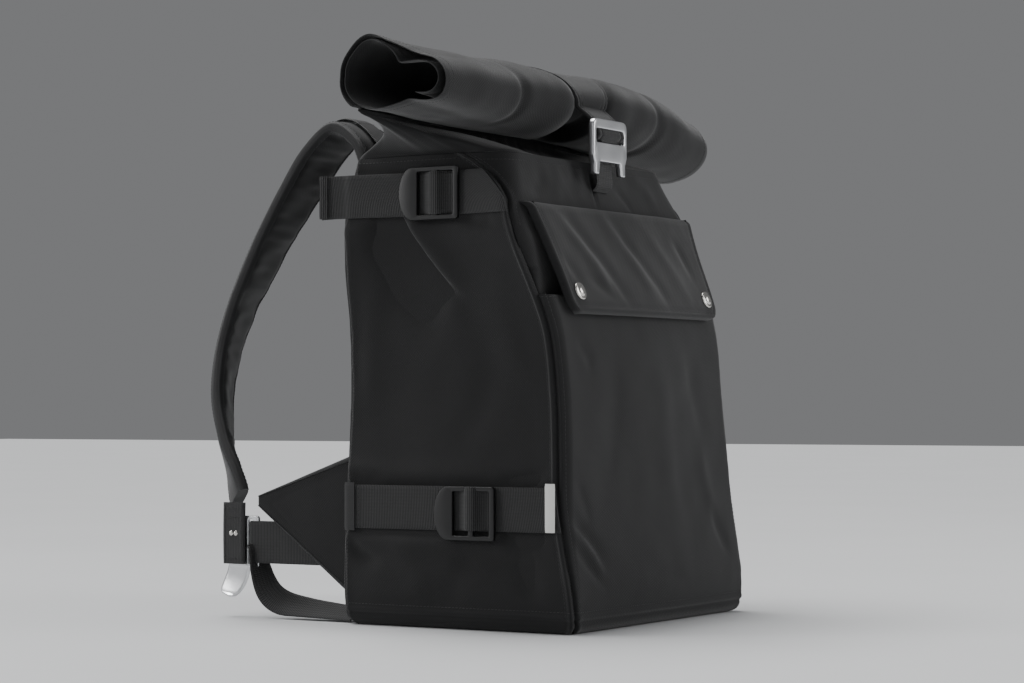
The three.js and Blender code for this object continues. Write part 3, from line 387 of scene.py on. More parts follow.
def woven_nylon(name, hex_dark, hex_light, pitch_mm, bump, gloss=0.78, sheen=0.22):
    """Cloth of plain weave: dark dull threads, with painted highlight on their crowns and along edges and seam
    ridges.
    """
    material, tree, shader = finish_named(name)
    flat = add(tree, "ShaderNodeUVMap", uv_map="cloth").outputs["UV"]
    parts = add(tree, "ShaderNodeSeparateXYZ", {"Vector": flat}).outputs
    waves = []
    for part in (parts["X"], parts["Y"]):
        turned = add(tree, "ShaderNodeMath", {0: part, 1: math.pi * 1000 / pitch_mm}, operation="MULTIPLY")
        waves.append(add(tree, "ShaderNodeMath", {0: turned.outputs[0]}, operation="SINE").outputs[0])
    weave = add(tree, "ShaderNodeMath", {0: waves[0], 1: waves[1]}, operation="MULTIPLY").outputs[0]
    uneven = add(tree, "ShaderNodeTexNoise", {"Vector": flat, "Scale": 900.0, "Detail": 2.0}).outputs["Fac"]
    height = add(tree, "ShaderNodeMath", {0: weave, 1: 0.5, 2: uneven}, operation="MULTIPLY_ADD").outputs[0]
    relief = add(tree, "ShaderNodeBump", {"Height": height, "Strength": bump, "Distance": 0.0004})
    cloudy = add(tree, "ShaderNodeTexNoise", {"Vector": flat, "Scale": 18.0, "Detail": 4.0}).outputs["Fac"]
    # The point attribute paints highlight along edges and seam ridges; the weave term paints highlight on the
    # threads' crowns, over a random cloudy tone.
    edge_light_fac = add(tree, "ShaderNodeAttribute", attribute_name="painted_edge_light").outputs["Fac"]
    crown = add(tree, "ShaderNodeMath", {0: weave, 1: 0.12, 2: cloudy}, operation="MULTIPLY_ADD").outputs[0]
    lighter = add(tree, "ShaderNodeMath", {0: edge_light_fac, 1: 0.8, 2: crown}, operation="MULTIPLY_ADD",
                  use_clamp=True)
    tone = add(tree, "ShaderNodeMix", {0: lighter.outputs[0], 6: linear(hex_dark), 7: linear(hex_light)},
               data_type="RGBA")
    dull = add(tree, "ShaderNodeMapRange", {"Value": cloudy, "To Min": gloss - 0.08, "To Max": gloss + 0.08})
    tree.links.new(tone.outputs[2], shader.inputs["Base Color"])
    tree.links.new(dull.outputs["Result"], shader.inputs["Roughness"])
    tree.links.new(relief.outputs["Normal"], shader.inputs["Normal"])
    shader.inputs["Sheen Weight"].default_value = sheen
    shader.inputs["Sheen Roughness"].default_value = 0.45
    shader.inputs["Specular IOR Level"].default_value = 0.35
    return material


# Heavy nylon, a basket of thick dull threads: near black, and slightly grey where light grazes it, with painted
# highlight on thread crowns, edges and seam ridges. The real threads are about 0.9 mm apart; they are drawn 1.3 mm
# apart so that they show.
pack_cloth = woven_nylon("pack_cloth_heavy_nylon", "0D0D0E", "1B1B1C", 1.3, 0.4)
# Lining and gusset: a thin close nylon, smoother and darker; its near-black tone is partly painted shade for the
# gap under the flap's sides.
dark_lining_and_shade = woven_nylon("lining_thin_nylon_painted_shade", "080808", "101011", 0.8, 0.25, 0.6, 0.1)

CENTRE = np.array([0, 0, 0.2])
LOWEST = SECTIONS[0][0] * SHOULDER
POCKET_TOP, POCKET_BACK, MOUTH_RISE = 0.286, 0.078, 0.062
BASE_SEAM = 0.011
LOWER_WEB, UPPER_WEB, WEB_WIDTH, WEB_THICK = 0.104, 0.376, 0.038, 0.002


def wall_heights(low, high):
    """Heights of a wall's rows, close together by its lower seam."""
    return low + (high - low) * spread(high - low, fine_start=0.02, fine_end=0.004, step=0.003, fine=0.0014)


def mirrored_row(px, py, z):
    """A row of points across the bag, from a half row that runs out from its middle."""
    x, y = np.concatenate([-px[:0:-1], px]), np.concatenate([py[:0:-1], py])
    return np.column_stack([x, y, np.full(len(x), z)])


def pushed(grid, millimetres):
    """A grid moved along its normals, kept just above the floor."""
    moved = grid + outward_normals(grid, CENTRE) * (millimetres / 1000)[..., None]
    moved[..., 2] = np.maximum(moved[..., 2], 0.0006)
    return moved


# Pocket: folds at its lower left corner where the load hangs, long soft waves above.
# from (x, z), to (x, z), bow, spread on either side, height: millimetres
POCKET_CREASES = [
    ((-153, 98), (-104, 62), 3, 4, 7, -2.6),
    ((-150, 84), (-108, 50), 3, 5, 4, 2.0),
    ((-150, 74), (-106, 40), 0, 4, 6, -1.8),
    ((-135, 128), (-118, 92), 2, 8, 5, -0.9),
    ((104, 96), (128, 56), -3, 6, 8, -1.3),
    ((88, 150), (112, 92), -4, 10, 9, 1.1),
    ((-62, 236), (-84, 128), 6, 16, 12, -1.0),
    ((22, 214), (34, 104), -6, 18, 14, 0.9),
    ((74, 232), (96, 168), -4, 10, 14, -1.0),
    ((-118, 246), (-100, 224), 2, 6, 8, -1.1),
    ((-26, 44), (34, 36), 3, 8, 10, -0.8),
]
half_shares = spread(0.17, fine_end=0.014)
heights = wall_heights(LOWEST, POCKET_TOP)
pocket = np.array([mirrored_row(*along_outline(outline(z), "front", half_shares), z) for z in heights])
flat = flat_lengths(pocket)
from_seam = (np.abs(flat[:, :1, 0]) - np.abs(flat[..., 0])) * 1000
level = pocket[..., 2] * 1000
height = creases(pocket[..., [0, 2]], POCKET_CREASES) + 2.2 * ripple(flat, 0.11, 1) + 0.5 * ripple(flat, 0.03, 2)
height *= np.clip(from_seam / 26, 0, 1) * np.clip((level - 8) / 22, 0, 1) * np.clip((286 - level) / 20, 0, 1)
puckers = 0.5 * ripple(np.stack([flat[..., 0] / 4, flat[..., 1]], axis=2), 0.009, 3) * np.exp(-from_seam / 9)
height += seam_relief(from_seam, 1.6, 0.7, 3.4) + seam_relief(level - BASE_SEAM * 1000, 1.1, 0.8, 3.4) + puckers
pocket_outer = pushed(pocket, height)
# Painted highlight on the ridges beside the side seams and the base seam.
painted_edge_light = np.exp(-np.square((from_seam - 4) / 3)) * 0.35 + np.exp(-np.square((level - 15) / 4)) * 0.3
pocket_inner = pushed(pocket, np.full(height.shape, -CLOTH * 1000))
pocket_panel = cloth_piece("pocket_cloth", pocket_outer, pocket_inner, flat, pack_cloth, painted_edge_light=painted_edge_light)
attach(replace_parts(pocket_panel, "pocket_panel"), "root")
above_floor = heights > 0.016
for way in (1, -1):
    sew(inset_line(pocket_outer[:, ::way], from_seam[:, ::way], 6.5, above_floor))
sew(pocket_outer[np.abs(heights - 0.0185).argmin()], pocket_outer[-3])


# Front: behind the pocket it lies deeper, so papers fit between; above the flap it comes forward, with a slit
# under the roll's hook where its webbing is sewn in.
FRONT_CREASES = [
    ((-6, 399), (-10, 370), 0, 1.6, 1.6, -2.2),
    ((34, 386), (54, 370), 2, 3, 5, -1.5),
    ((-88, 396), (-118, 374), 3, 8, 6, -1.6),
    ((-60, 400), (-84, 372), 3, 7, 9, 1.2),
    ((70, 402), (104, 380), 3, 7, 9, 1.2),
    ((-30, 404), (-52, 380), 2, 6, 8, -0.9),
]


def behind_pocket(z, wall):
    """The front's outline at a height: set back inside the pocket, and full above it."""
    room = CLOTH + GAP
    deep = max(-POCKET_BACK - outline(min(z, POCKET_TOP)).front, room)
    inset = deep * min(max(1 - (z - POCKET_TOP + MOUTH_RISE / 4) / MOUTH_RISE, 0), 1)
    beside = min(inset, room)
    o = outline(z, beside + wall, inset + wall)
    o.corner_x = max(o.corner_x - (inset - beside), 0.003 - wall)
    o.corner_y = max(o.corner_y - (inset - beside), 0.003 - wall)
    o.swell *= 1 - min(inset / room, 1)
    if inset > CLOTH * 2:
        inner = side_at(outline(z), np.linspace(o.front, o.front + o.corner_y * 2, 7)) - CLOTH - GAP * 1.5 - wall
        o.half = min(o.half, inner.min())
    return o


heights = 0.0034 + (SHOULDER - 0.0034) * spread(SHOULDER - 0.0034, 0, 0.006, 0.0035, 0.0015)
front, front_inner = (np.array([mirrored_row(*along_outline(behind_pocket(z, wall), "front", half_shares), z)
                                for z in heights]) for wall in (0, CLOTH))
flat = flat_lengths(front)
from_seam = (np.abs(flat[:, :1, 0]) - np.abs(flat[..., 0])) * 1000
level = front[..., 2] * 1000
above = np.clip((level - 344) / 12, 0, 1)
height = creases(front[..., [0, 2]], FRONT_CREASES) + 1.3 * ripple(flat, 0.06, 4) + 0.4 * ripple(flat, 0.02, 5)
height = height * np.clip(from_seam / 20, 0, 1) + seam_relief(from_seam, 1.6, 0.7, 3.4)
height *= above * np.clip((412 - level) / 8, 0.1, 1)
front_outer = pushed(front, height)
# Painted highlight on the ridges beside the side seams.
front_panel = cloth_piece("front_cloth", front_outer, front_inner, flat, pack_cloth,
                          painted_edge_light=np.exp(-np.square((from_seam - 4) / 3)) * 0.35)
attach(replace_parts(front_panel, "front_panel"), "root")
for way in (1, -1):
    sew(inset_line(front_outer[:, ::way], from_seam[:, ::way], 6.5, heights > 0.345))
sew(front_outer[np.abs(heights - 0.4045).argmin()][abs(front_outer[0, :, 0]) > 0.012])


# Sides: gussets of the same cloth. The straps draw them in: on the left a deep diagonal hollow runs down from
# the upper strap, with a crisp fold at its front, and small hollows lie above and below the lower strap's ends.
# from (y, z), to (y, z), bow, spread on either side, height: millimetres
SIDE_CREASES = {
    "left": [
        ((58, 364), (2, 294), 5, 16, 3.2, 3.6),
        ((70, 366), (14, 292), 5, 6, 26, -15),
        ((62, 322), (26, 254), 0, 18, 18, -2.6),
        ((2, 300), (-16, 262), 2, 14, 10, -1.2),
        ((-6, 352), (-42, 349), 0, 9, 6, -3.2),
        ((-92, 135), (-46, 128), -3, 5, 8, -3.0),
        ((-92, 76), (-54, 74), 4, 9, 8, -3.0),
        ((-70, 74), (-82, 26), 3, 11, 11, -2.2),
        ((114, 136), (78, 128), 3, 6, 9, -2.6),
        ((114, 76), (82, 56), 3, 7, 8, -3.2),
        ((60, 70), (30, 30), -4, 14, 12, 1.4),
        ((-20, 66), (6, 22), 4, 13, 12, -1.3),
        ((-40, 300), (-66, 210), 5, 14, 16, 1.6),
        ((88, 300), (96, 190), 3, 12, 10, 1.3),
        ((-30, 236), (-2, 160), -6, 16, 14, -1.2),
    ],
    "right": [
        ((44, 362), (10, 290), 4, 14, 5, 2.2),
        ((66, 364), (30, 284), 4, 12, 20, -5.0),
        ((-30, 352), (-56, 340), 0, 9, 6, -2.4),
        ((-92, 134), (-50, 128), -3, 5, 8, -2.6),
        ((-94, 76), (-60, 70), 4, 9, 8, -3.0),
        ((112, 134), (80, 128), 3, 6, 9, -2.4),
        ((112, 76), (86, 60), 3, 7, 8, -2.8),
        ((20, 250), (-14, 170), 5, 16, 14, -1.6),
        ((-50, 250), (-64, 180), 3, 12, 14, 1.2),
    ],
}
side_shares = spread(0.235, fine_start=0.014, fine_end=0.01)
heights = wall_heights(LOWEST, SHOULDER)
for side, sign, seed in (("left", -1, 11), ("right", 1, 21)):
    rows = []
    for z in heights:
        px, py = along_outline(outline(z), "side", side_shares)
        rows.append(np.column_stack([sign * px, py, np.full(len(px), z)]))
    wall = np.array(rows)
    flat = flat_lengths(wall)
    from_front = (flat[..., 0] - flat[:, :1, 0]) * 1000
    from_back = (flat[:, -1:, 0] - flat[..., 0]) * 1000
    level = wall[..., 2] * 1000
    height = (creases(wall[..., [1, 2]], SIDE_CREASES[side]) + 2.4 * ripple(flat, 0.1, seed)
              + 0.7 * ripple(flat, 0.034, seed + 1))
    height *= np.clip(from_front / 24, 0, 1) * np.clip(from_back / 14, 0, 1) * np.clip((level - 8) / 20, 0, 1)
    for web in (LOWER_WEB, UPPER_WEB):
        away = np.abs(level - web * 1000)
        height += 1.4 * np.exp(-np.square((away - 31) / 9)) * np.clip(from_front / 24, 0, 1)
        under = np.clip((27 - away) / 6, 0, 1)
        height = np.where(height > -0.2, height * (1 - under) - 0.2 * under, height)
    puckers = 0.6 * ripple(np.stack([flat[..., 0] / 4, flat[..., 1]], axis=2), 0.01, seed + 2)
    height += puckers * (np.exp(-from_front / 9) + np.exp(-from_back / 7))
    height += seam_relief(from_front, 2.2, 2.4, 3.6) + seam_relief(from_back, 1.6, 0.7, 3.4)
    height += seam_relief(level - BASE_SEAM * 1000, 1.0, 0.8, 3.4)
    # Painted highlight on the front seam's ridge and the base seam's ridge.
    painted_edge_light = np.exp(-np.square((from_front - 4) / 2.6)) * 0.6 + np.exp(-np.square((level - 15) / 4)) * 0.3
    side_outer = pushed(wall, height)
    sew(inset_line(side_outer, from_front, 8, heights > 0.016), side_outer[np.abs(heights - 0.0185).argmin()],
        side_outer[np.abs(heights - 0.4045).argmin()], inset_line(side_outer[:, ::-1], from_back[:, ::-1], 5))
    side_panel = cloth_piece(f"side_cloth_{side}", side_outer,
                             pushed(wall, np.full(height.shape, -CLOTH * 1000)), flat, pack_cloth, painted_edge_light=painted_edge_light)
    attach(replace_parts(side_panel, f"side_panel_{side}"), "root")


# Back: two layers of cloth with foam between, 10 mm thick, sewn in along its edges; its face is a plain pillow.
BACK_PADDING, BASE_WALL = 0.010, 0.003
back_shares = spread(0.155, fine_start=0.012)
heights = BASE_WALL + GAP + (SHOULDER - BASE_WALL - GAP) * spread(0.4, 0.014, 0.014, 0.004, 0.0015)


def back_row(z, inset):
    """A row of points across the back, drawn in by an inset."""
    px, py = along_outline(outline(z, inset), "back", back_shares)
    return mirrored_row(px[::-1], py[::-1], z)


back_wall = np.array([back_row(z, 0) for z in heights])
flat = flat_lengths(back_wall)
from_edge = np.minimum((np.abs(flat[:, :1, 0]) - np.abs(flat[..., 0])),
                       np.minimum(flat[..., 1], flat[-1:, :, 1] - flat[..., 1])) * 1000
height = 3.2 * (1 - np.exp(-from_edge / 14)) + 1.2 * ripple(flat, 0.08, 31) * np.clip(from_edge / 20, 0, 1)
height += seam_relief(from_edge, 1.4, 0.4, 3.4) + 0.5 * ripple(flat, 0.012, 32) * np.exp(-from_edge / 8)
back_inner = np.array([back_row(z, BACK_PADDING) for z in heights])
back_outer = pushed(back_wall, height)
sew(back_outer[-5], back_outer[5])
sew(*(inset_line(back_outer[:, ::way], from_edge[:, ::way], 6, slice(6, -6)) for way in (1, -1)))
back_panel = cloth_piece("back_pad", back_outer, back_inner, flat, pack_cloth)
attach(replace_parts(back_panel, "back_panel"), "root")


# Base: a plain panel inside the walls' lower edges, with a board under its lining.
foot = outline(LOWEST, CLOTH + GAP)
parts = [np.column_stack(along_outline(foot, part, np.linspace(0, 1, 24)))
         for part in ("front", "side", "back")]
half_ring = np.concatenate([parts[0], parts[1][1:], parts[2][1:]])
ring = np.concatenate([half_ring, half_ring[-2:0:-1] * [-1, 1]])
shrink = np.linspace(0, 1, 14)[:, None, None]
disc = ring[None] * (1 - shrink * 0.999)
base_grid = np.concatenate([disc, np.full(disc.shape[:2] + (1,), LOWEST)], axis=2)
lift = np.array([0, 0, BASE_WALL])
base_panel = cloth_piece("base_cloth", base_grid, base_grid + lift, disc, pack_cloth, loop=True)
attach(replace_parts(base_panel, "base_panel"), "root")


# ------------------------------------------------------------------------------------- pocket flap
# A stiffened lid of the bag's cloth, turned over at its edges. It stands 11 mm off the front on walls of thin dark
# lining at its sides, their near-black tone partly painted shade, and is open below; two pulls run aslant from its
# top to the snaps.
FLAP_TOP, FLAP_DROP, FLAP_STAND, FLAP_THICK = 0.366, 0.097, 0.011, 0.003
FLAP_NARROW, FLAP_WIDER, FLAP_CORNER, FLAP_EDGE, LINING = 0.1325, 0.012, 0.014, 0.0032, 0.0008
FLAP_CREASES = [
    ((-112, 356), (-60, 284), 6, 9, 6, 1.5),
    ((-90, 350), (-38, 280), 4, 5, 9, -1.6),
    ((-34, 358), (14, 284), 5, 10, 7, 1.3),
    ((-14, 352), (36, 278), 4, 6, 9, -1.5),
    ((40, 352), (76, 290), 3, 10, 8, 1.1),
    ((92, 340), (104, 306), 2, 5, 7, -1.5),
    ((-122, 316), (-106, 292), 0, 5, 7, -1.0),
    ((-96, 300), (-50, 274), 3, 5, 6, -0.8),
]


def flap_half(z):
    """Half the flap's width at a height, its lower corners round."""
    share = np.clip((z - FLAP_TOP + FLAP_DROP) / FLAP_DROP, 0, 1)
    rise = np.minimum(share * FLAP_DROP, FLAP_CORNER)
    cut = FLAP_CORNER - np.sqrt(FLAP_CORNER**2 - np.square(FLAP_CORNER - rise))
    return FLAP_NARROW + FLAP_WIDER * share**2.2 - cut


def turned_over(away, radius):
    """How far a surface has dropped at a distance from its turned-over edge."""
    return radius * rounded(np.clip(1 - away / radius, 0, 1))


flap_left, flap_right = -1 + spread(0.135, 0.004, 0, 0.003, 0.0008), spread(0.135, 0, 0.004, 0.003, 0.0008)
flap_across = np.concatenate([flap_left, flap_right[1:]])
heights = FLAP_TOP - FLAP_DROP + FLAP_DROP * spread(FLAP_DROP, 0.005, 0.012, 0.0028, 0.0009)
flap = np.array([[(a * flap_half(z), front_at(outline(z), a * flap_half(z)), z) for a in flap_across]
                 for z in heights])
flat = flat_lengths(flap)
side_away = (1 - np.abs(flap_across))[None, :] * np.array([flap_half(z) for z in heights])[:, None]
foot_away = (heights - heights[0])[:, None] * np.ones_like(side_away)
top_away = (heights[-1] - heights)[:, None] * np.ones_like(side_away)
off = FLAP_STAND - turned_over(side_away, FLAP_EDGE) - turned_over(foot_away, FLAP_EDGE)
off -= (FLAP_STAND - 0.0005) * rounded(np.clip(1 - top_away / 0.009, 0, 1))
inward = np.clip(np.minimum(side_away, foot_away) / 0.016, 0, 1)
bulge = creases(flap[..., [0, 2]], FLAP_CREASES) + 1.2 * ripple(flat, 0.05, 41) + 0.3 * ripple(flat, 0.016, 42)
stitched = -0.55 * np.exp(-np.square((np.minimum(side_away, foot_away) * 1000 - 6) / 1.4))
lean = np.array([0, -1, 0.25]) / math.hypot(1, 0.25)
flap_face = flap + lean * (off + (bulge * inward + stitched) / 1000)[..., None]
flap_under = flap + lean * np.maximum(off - FLAP_THICK, 0.0003)[..., None]
# Painted highlight along the flap's turned edges and its top fold.
painted_edge_light = np.exp(-np.square(np.minimum(side_away, foot_away) / 0.0022)) * 0.9
painted_edge_light = painted_edge_light + np.exp(-np.square((top_away - 0.004) / 0.004)) * 0.6
pocket_flap = cloth_piece("pocket_flap_cloth", flap_face, flap_under, flat, pack_cloth, painted_edge_light=painted_edge_light)
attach(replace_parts(pocket_flap, "pocket_flap"), "root")
hem_row = np.abs(foot_away[:, 0] - 0.006).argmin()
sew(*(inset_line(flap_face[:, ::way], side_away[:, ::way], 0.006, slice(hem_row, -3)) for way in (1, -1)))
sew(flap_face[hem_row][side_away[hem_row] > 0.006])

for side, sign in (("left", -1), ("right", 1)):
    levels = FLAP_TOP - 0.002 - (FLAP_DROP - 0.006) * np.linspace(0, 1, 40)
    depth = np.linspace(0.0005, FLAP_STAND - FLAP_THICK * 0.7, 7)
    wall = []
    for z in levels:
        x = sign * (flap_half(z) - 0.006)
        y = front_at(outline(z), x)
        wall.append([(x - sign * 0.0012 * math.sin(math.pi * d / depth[-1]), y - d, z + 0.25 * d) for d in depth])
    wall = np.array(wall)
    # The gusset walls take the dark lining, its darkness in part painted shade of the gap under the flap.
    gusset = cloth_piece(f"flap_gusset_{side}", wall, wall - np.array([sign * LINING, 0, 0]), flat_lengths(wall),
                         dark_lining_and_shade)
    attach(gusset, "root")


# ------------------------------------------------------------------------------------------ snaps
# Pressed brass caps, nickel plated and brushed: a flat rim and a low dome, pressed through the flap.
def bright_metal(name, code, rough, grain_mm, stretch=(1, 1, 1)):
    """Bare or plated metal: mirror-like under a fine grain that spreads the light."""
    material, tree, shader = finish_named(name)
    place = add(tree, "ShaderNodeTexCoord").outputs["Object"]
    drawn = add(tree, "ShaderNodeMapping", {"Vector": place, "Scale": stretch}).outputs["Vector"]
    fine = {"Vector": drawn, "Scale": 1000 / grain_mm, "Detail": 3.0}
    grain = add(tree, "ShaderNodeTexNoise", fine).outputs["Fac"]
    smears = add(tree, "ShaderNodeTexNoise", {"Vector": place, "Scale": 60.0, "Detail": 2.0}).outputs["Fac"]
    dull = add(tree, "ShaderNodeMapRange", {"Value": smears, "To Min": rough - 0.05, "To Max": rough + 0.07})
    relief = add(tree, "ShaderNodeBump", {"Height": grain, "Strength": 0.12, "Distance": 0.0002})
    tree.links.new(dull.outputs["Result"], shader.inputs["Roughness"])
    tree.links.new(relief.outputs["Normal"], shader.inputs["Normal"])
    shader.inputs["Base Color"].default_value = linear(code)
    shader.inputs["Metallic"].default_value = 1
    return material


# Nickel plate, tumbled: bright, a little warm. Aluminium, cast and satin blasted: white grey, soft highlights.
nickel_plate = bright_metal("nickel_plate", "D2D0CB", 0.22, 0.5)
satin_aluminium = bright_metal("satin_aluminium", "DCDDDF", 0.30, 0.35)
SNAP_RADIUS, SNAP_X, SNAP_Z = 0.008, 0.1153, 0.2868
# radius and height, shares of the cap's radius
SNAP_PROFILE = [(0, 0.42), (0.2, 0.41), (0.42, 0.37), (0.56, 0.3), (0.62, 0.22), (0.66, 0.2), (0.86, 0.2),
                (0.96, 0.15), (1, 0.06), (0.98, -0.04), (0.8, -0.1), (0, -0.1)]


def turned(name, profile, radius, segments, matrix, material):
    """A round piece turned from its profile about its own Z, then put in place."""
    ring = np.arange(segments) / segments * 2 * math.pi
    points, faces, before = [], [], None
    for r, h in profile:
        start = len(points)
        points += [(r * radius * math.cos(a), r * radius * math.sin(a), h * radius)
                   for a in (ring if r > 0 else [0])]
        now = [start + (i if r > 0 else 0) for i in range(segments)]
        if before:
            for i in range(segments):
                j = (i + 1) % segments
                faces.append(list(dict.fromkeys([before[i], before[j], now[j], now[i]])))
        before = now
    mesh = bpy.data.meshes.new(name)
    mesh.from_pydata([tuple(matrix @ Vector(p)) for p in points], [], faces)
    return settle(name, mesh, material, 40)


for side, sign in (("left", -1), ("right", 1)):
    x, z = sign * SNAP_X, SNAP_Z
    seat = Vector((x, front_at(outline(z), x) - FLAP_STAND * lean[1] * -1 - 0.0004, z + FLAP_STAND * lean[2]))
    tilt = math.atan2(front_at(outline(z + 0.01), x) - front_at(outline(z - 0.01), x), 0.02)
    stand = Matrix.Translation(seat) @ Matrix.Rotation(math.pi / 2 - tilt, 4, "X")
    snap = turned(f"snap_cap_{side}", SNAP_PROFILE, SNAP_RADIUS, 40, stand, nickel_plate)
    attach(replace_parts(snap, f"snap_{side}"), "root")


# -------------------------------------------------------------------------------------------- roll
# The bag's long mouth, pressed flat and rolled down on itself, the cloth double. Both ends are open: the left
# one gapes in a rough hexagon round its inner turn. The tab presses a valley in the roll's middle, and the
# cloth swells into a lobe on either side of it.
ROLL_LENGTH, ROLL_DEPTH, ROLL_HEIGHT = 0.464, 0.114, 0.070
ROLL_Y, ROLL_Z, ROLL_WALL, ROLL_PITCH, ROLL_TURNS, NECK_TURN = 0.010, 0.464, 0.0024, 0.005, 1.7, -0.085
# across (share of half the length), rise (share of the height), depth, height, how much of the left end's form
ROLL_SECTIONS = [
    (-1, 0.12, 1, 1, 1), (-0.86, 0.1, 1, 1, 0.75), (-0.6, 0.04, 1.02, 0.98, 0.35), (-0.3, 0, 1.02, 0.95, 0.1),
    (0, 0, 1, 0.92, 0), (0.3, 0, 1.02, 0.98, 0), (0.6, -0.06, 1.04, 1.02, 0), (0.86, -0.24, 1.02, 1.02, 0),
    (1, -0.33, 0.98, 1, 0),
]
TAB_THICK, TAB_FOOT, TAB_BACK, TAB_TIP = 0.003, 0.116, 0.160, 0.046
TAB_START, TAB_END, TAB_SINK = 0.02, 0.535, 0.0035
# turn, from the back over the top to the front, and the left end's reach there, a share of the oval's
END_REACH = [
    (0, 1), (0.06, 1.04), (0.14, 1.12), (0.2, 0.86), (0.3, 0.68), (0.42, 0.66), (0.48, 0.88), (0.54, 1.08),
    (0.58, 1.14), (0.65, 0.88), (0.72, 0.92), (0.82, 1.04), (0.9, 1.12), (1, 1),
]
# place along (mm), turn, spread along and round, height: millimetres
ROLL_DENTS = [
    (-112, 0.52, 5, 0.1, -3.2), (-70, 0.42, 34, 0.2, 3.5), (-52, 0.6, 24, 0.12, 5.5), (-46, 0.5, 14, 0.1, 3.0),
    (56, 0.5, 24, 0.2, 4.0), (126, 0.4, 4, 0.2, -2.6), (132, 0.62, 5, 0.12, -2.4), (98, 0.5, 18, 0.2, 1.6),
    (172, 0.5, 22, 0.22, 1.8), (-168, 0.45, 22, 0.14, 2.0), (118, 0.3, 4, 0.05, -2.6),
    (118, 0.24, 12, 0.05, -2.2), (-90, 0.24, 24, 0.1, 1.6), (90, 0.2, 26, 0.1, 1.8), (-30, 0.68, 16, 0.08, 2.5),
]
read_roll, read_end = smooth_table(ROLL_SECTIONS), smooth_table(END_REACH)


def roll_points(across, turns, inset):
    """Points on the roll's winding: across from -1 to 1, turns from the back over the top, less an inset."""
    across, turns, inset = np.broadcast_arrays(np.asarray(across, float), turns, inset)
    rise, deep, tall, skew = (c.reshape(across.shape) for c in read_roll(across.ravel()))
    angle = turns * 2 * math.pi
    reach = 1 + (read_end(np.mod(turns, 1).ravel())[0].reshape(across.shape) - 1) * skew
    oval = 1 / np.hypot(np.cos(angle) / (deep * ROLL_DEPTH / 2), np.sin(angle) / (tall * ROLL_HEIGHT / 2))
    r = oval * reach - inset
    return np.stack([across * ROLL_LENGTH / 2, ROLL_Y + r * np.cos(angle),
                     ROLL_Z + rise * ROLL_HEIGHT + r * np.sin(angle)], axis=-1)


def eased(share):
    """A share from 0 to 1 that starts and ends gently."""
    share = np.clip(share, 0, 1)
    return share * share * (3 - 2 * share)


def tab_half(turns):
    """Half the tab's width at a place on its way over the roll."""
    share = np.clip((turns - TAB_START) / (TAB_END - TAB_START), 0, 1)
    return (TAB_BACK + (TAB_TIP - TAB_BACK) * np.maximum(share * 1.4 - 0.4, 0)) / 2


def roll_dents(across, turns):
    """How far the rolled cloth stands out or in there, in metres."""
    x, t = across * ROLL_LENGTH / 2 * 1000, np.mod(turns, 1)
    made = np.zeros(np.broadcast(x, t).shape)
    for place, at, along, round_, height in ROLL_DENTS:
        gap = np.abs(t - at)
        made += height * np.exp(-np.square((x - place) / along) - np.square(np.minimum(gap, 1 - gap) / round_))
    angle = turns * 2 * math.pi
    grid = np.stack([x / 1000, np.cos(angle) * 0.05, np.sin(angle) * 0.035], axis=-1)
    made += 1.3 * ripple(grid, 0.06, 51) + 0.5 * ripple(grid, 0.02, 52)
    under_tab = eased((tab_half(t) * 1000 + 9 - np.abs(x)) / 13)
    under_tab = under_tab * eased((t + 0.02) / 0.05) * eased((0.86 - t) / 0.2)
    valley = -TAB_SINK * 1000 - 1.6 - 11 * eased((t - 0.4) / 0.16)
    return (made * (1 - under_tab) + valley * under_tab) / 1000


across = -1 + 2 * spread(ROLL_LENGTH, 0.006, 0.006, 0.0034, 0.0012)
turns = NECK_TURN + np.linspace(0, ROLL_TURNS, 170)
winding_across, winding_turns = np.meshgrid(across, turns, indexing="ij")
wound = ROLL_PITCH * (winding_turns - NECK_TURN)
end_share = eased((-winding_across - 0.72) / 0.28)
wound += 0.008 * end_share * np.exp(-np.square((winding_turns - 1.36) / 0.13))
wound += 0.006 * end_share * np.exp(-np.square((winding_turns - 1.6) / 0.06))
dents = roll_dents(winding_across, winding_turns)
hem = 0.0008 * np.exp(-np.square((np.abs(winding_across) - 1) * ROLL_LENGTH / 2 / 0.003))
outer = roll_points(winding_across, winding_turns, wound - dents + hem)
inner = roll_points(winding_across, winding_turns, wound - dents + ROLL_WALL - hem)
flat = flat_lengths(outer)[..., ::-1]
# Painted highlight on the roll's hemmed ends.
painted_edge_light = np.exp(-np.square((np.abs(winding_across) - 1) * ROLL_LENGTH / 2 / 0.004)) * 0.7
roll = cloth_piece("rolled_mouth", outer, inner, flat, pack_cloth, painted_edge_light=painted_edge_light)
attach(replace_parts(roll, "roll"), "root")
hem_column = np.abs((1 + across) * ROLL_LENGTH / 2 - 0.011).argmin()
sew(outer[hem_column, 4:], outer[-hem_column - 1, 4:])


# ------------------------------------------------------------------------------------------ collar
# The tube of cloth between the bag's shoulders and the roll: it widens from the bag's outline to the pressed
# mouth, and its slack falls in folds at the corners.
NECK_Y, NECK_THICK, NECK_TIP = 0.050, 0.013, 0.005
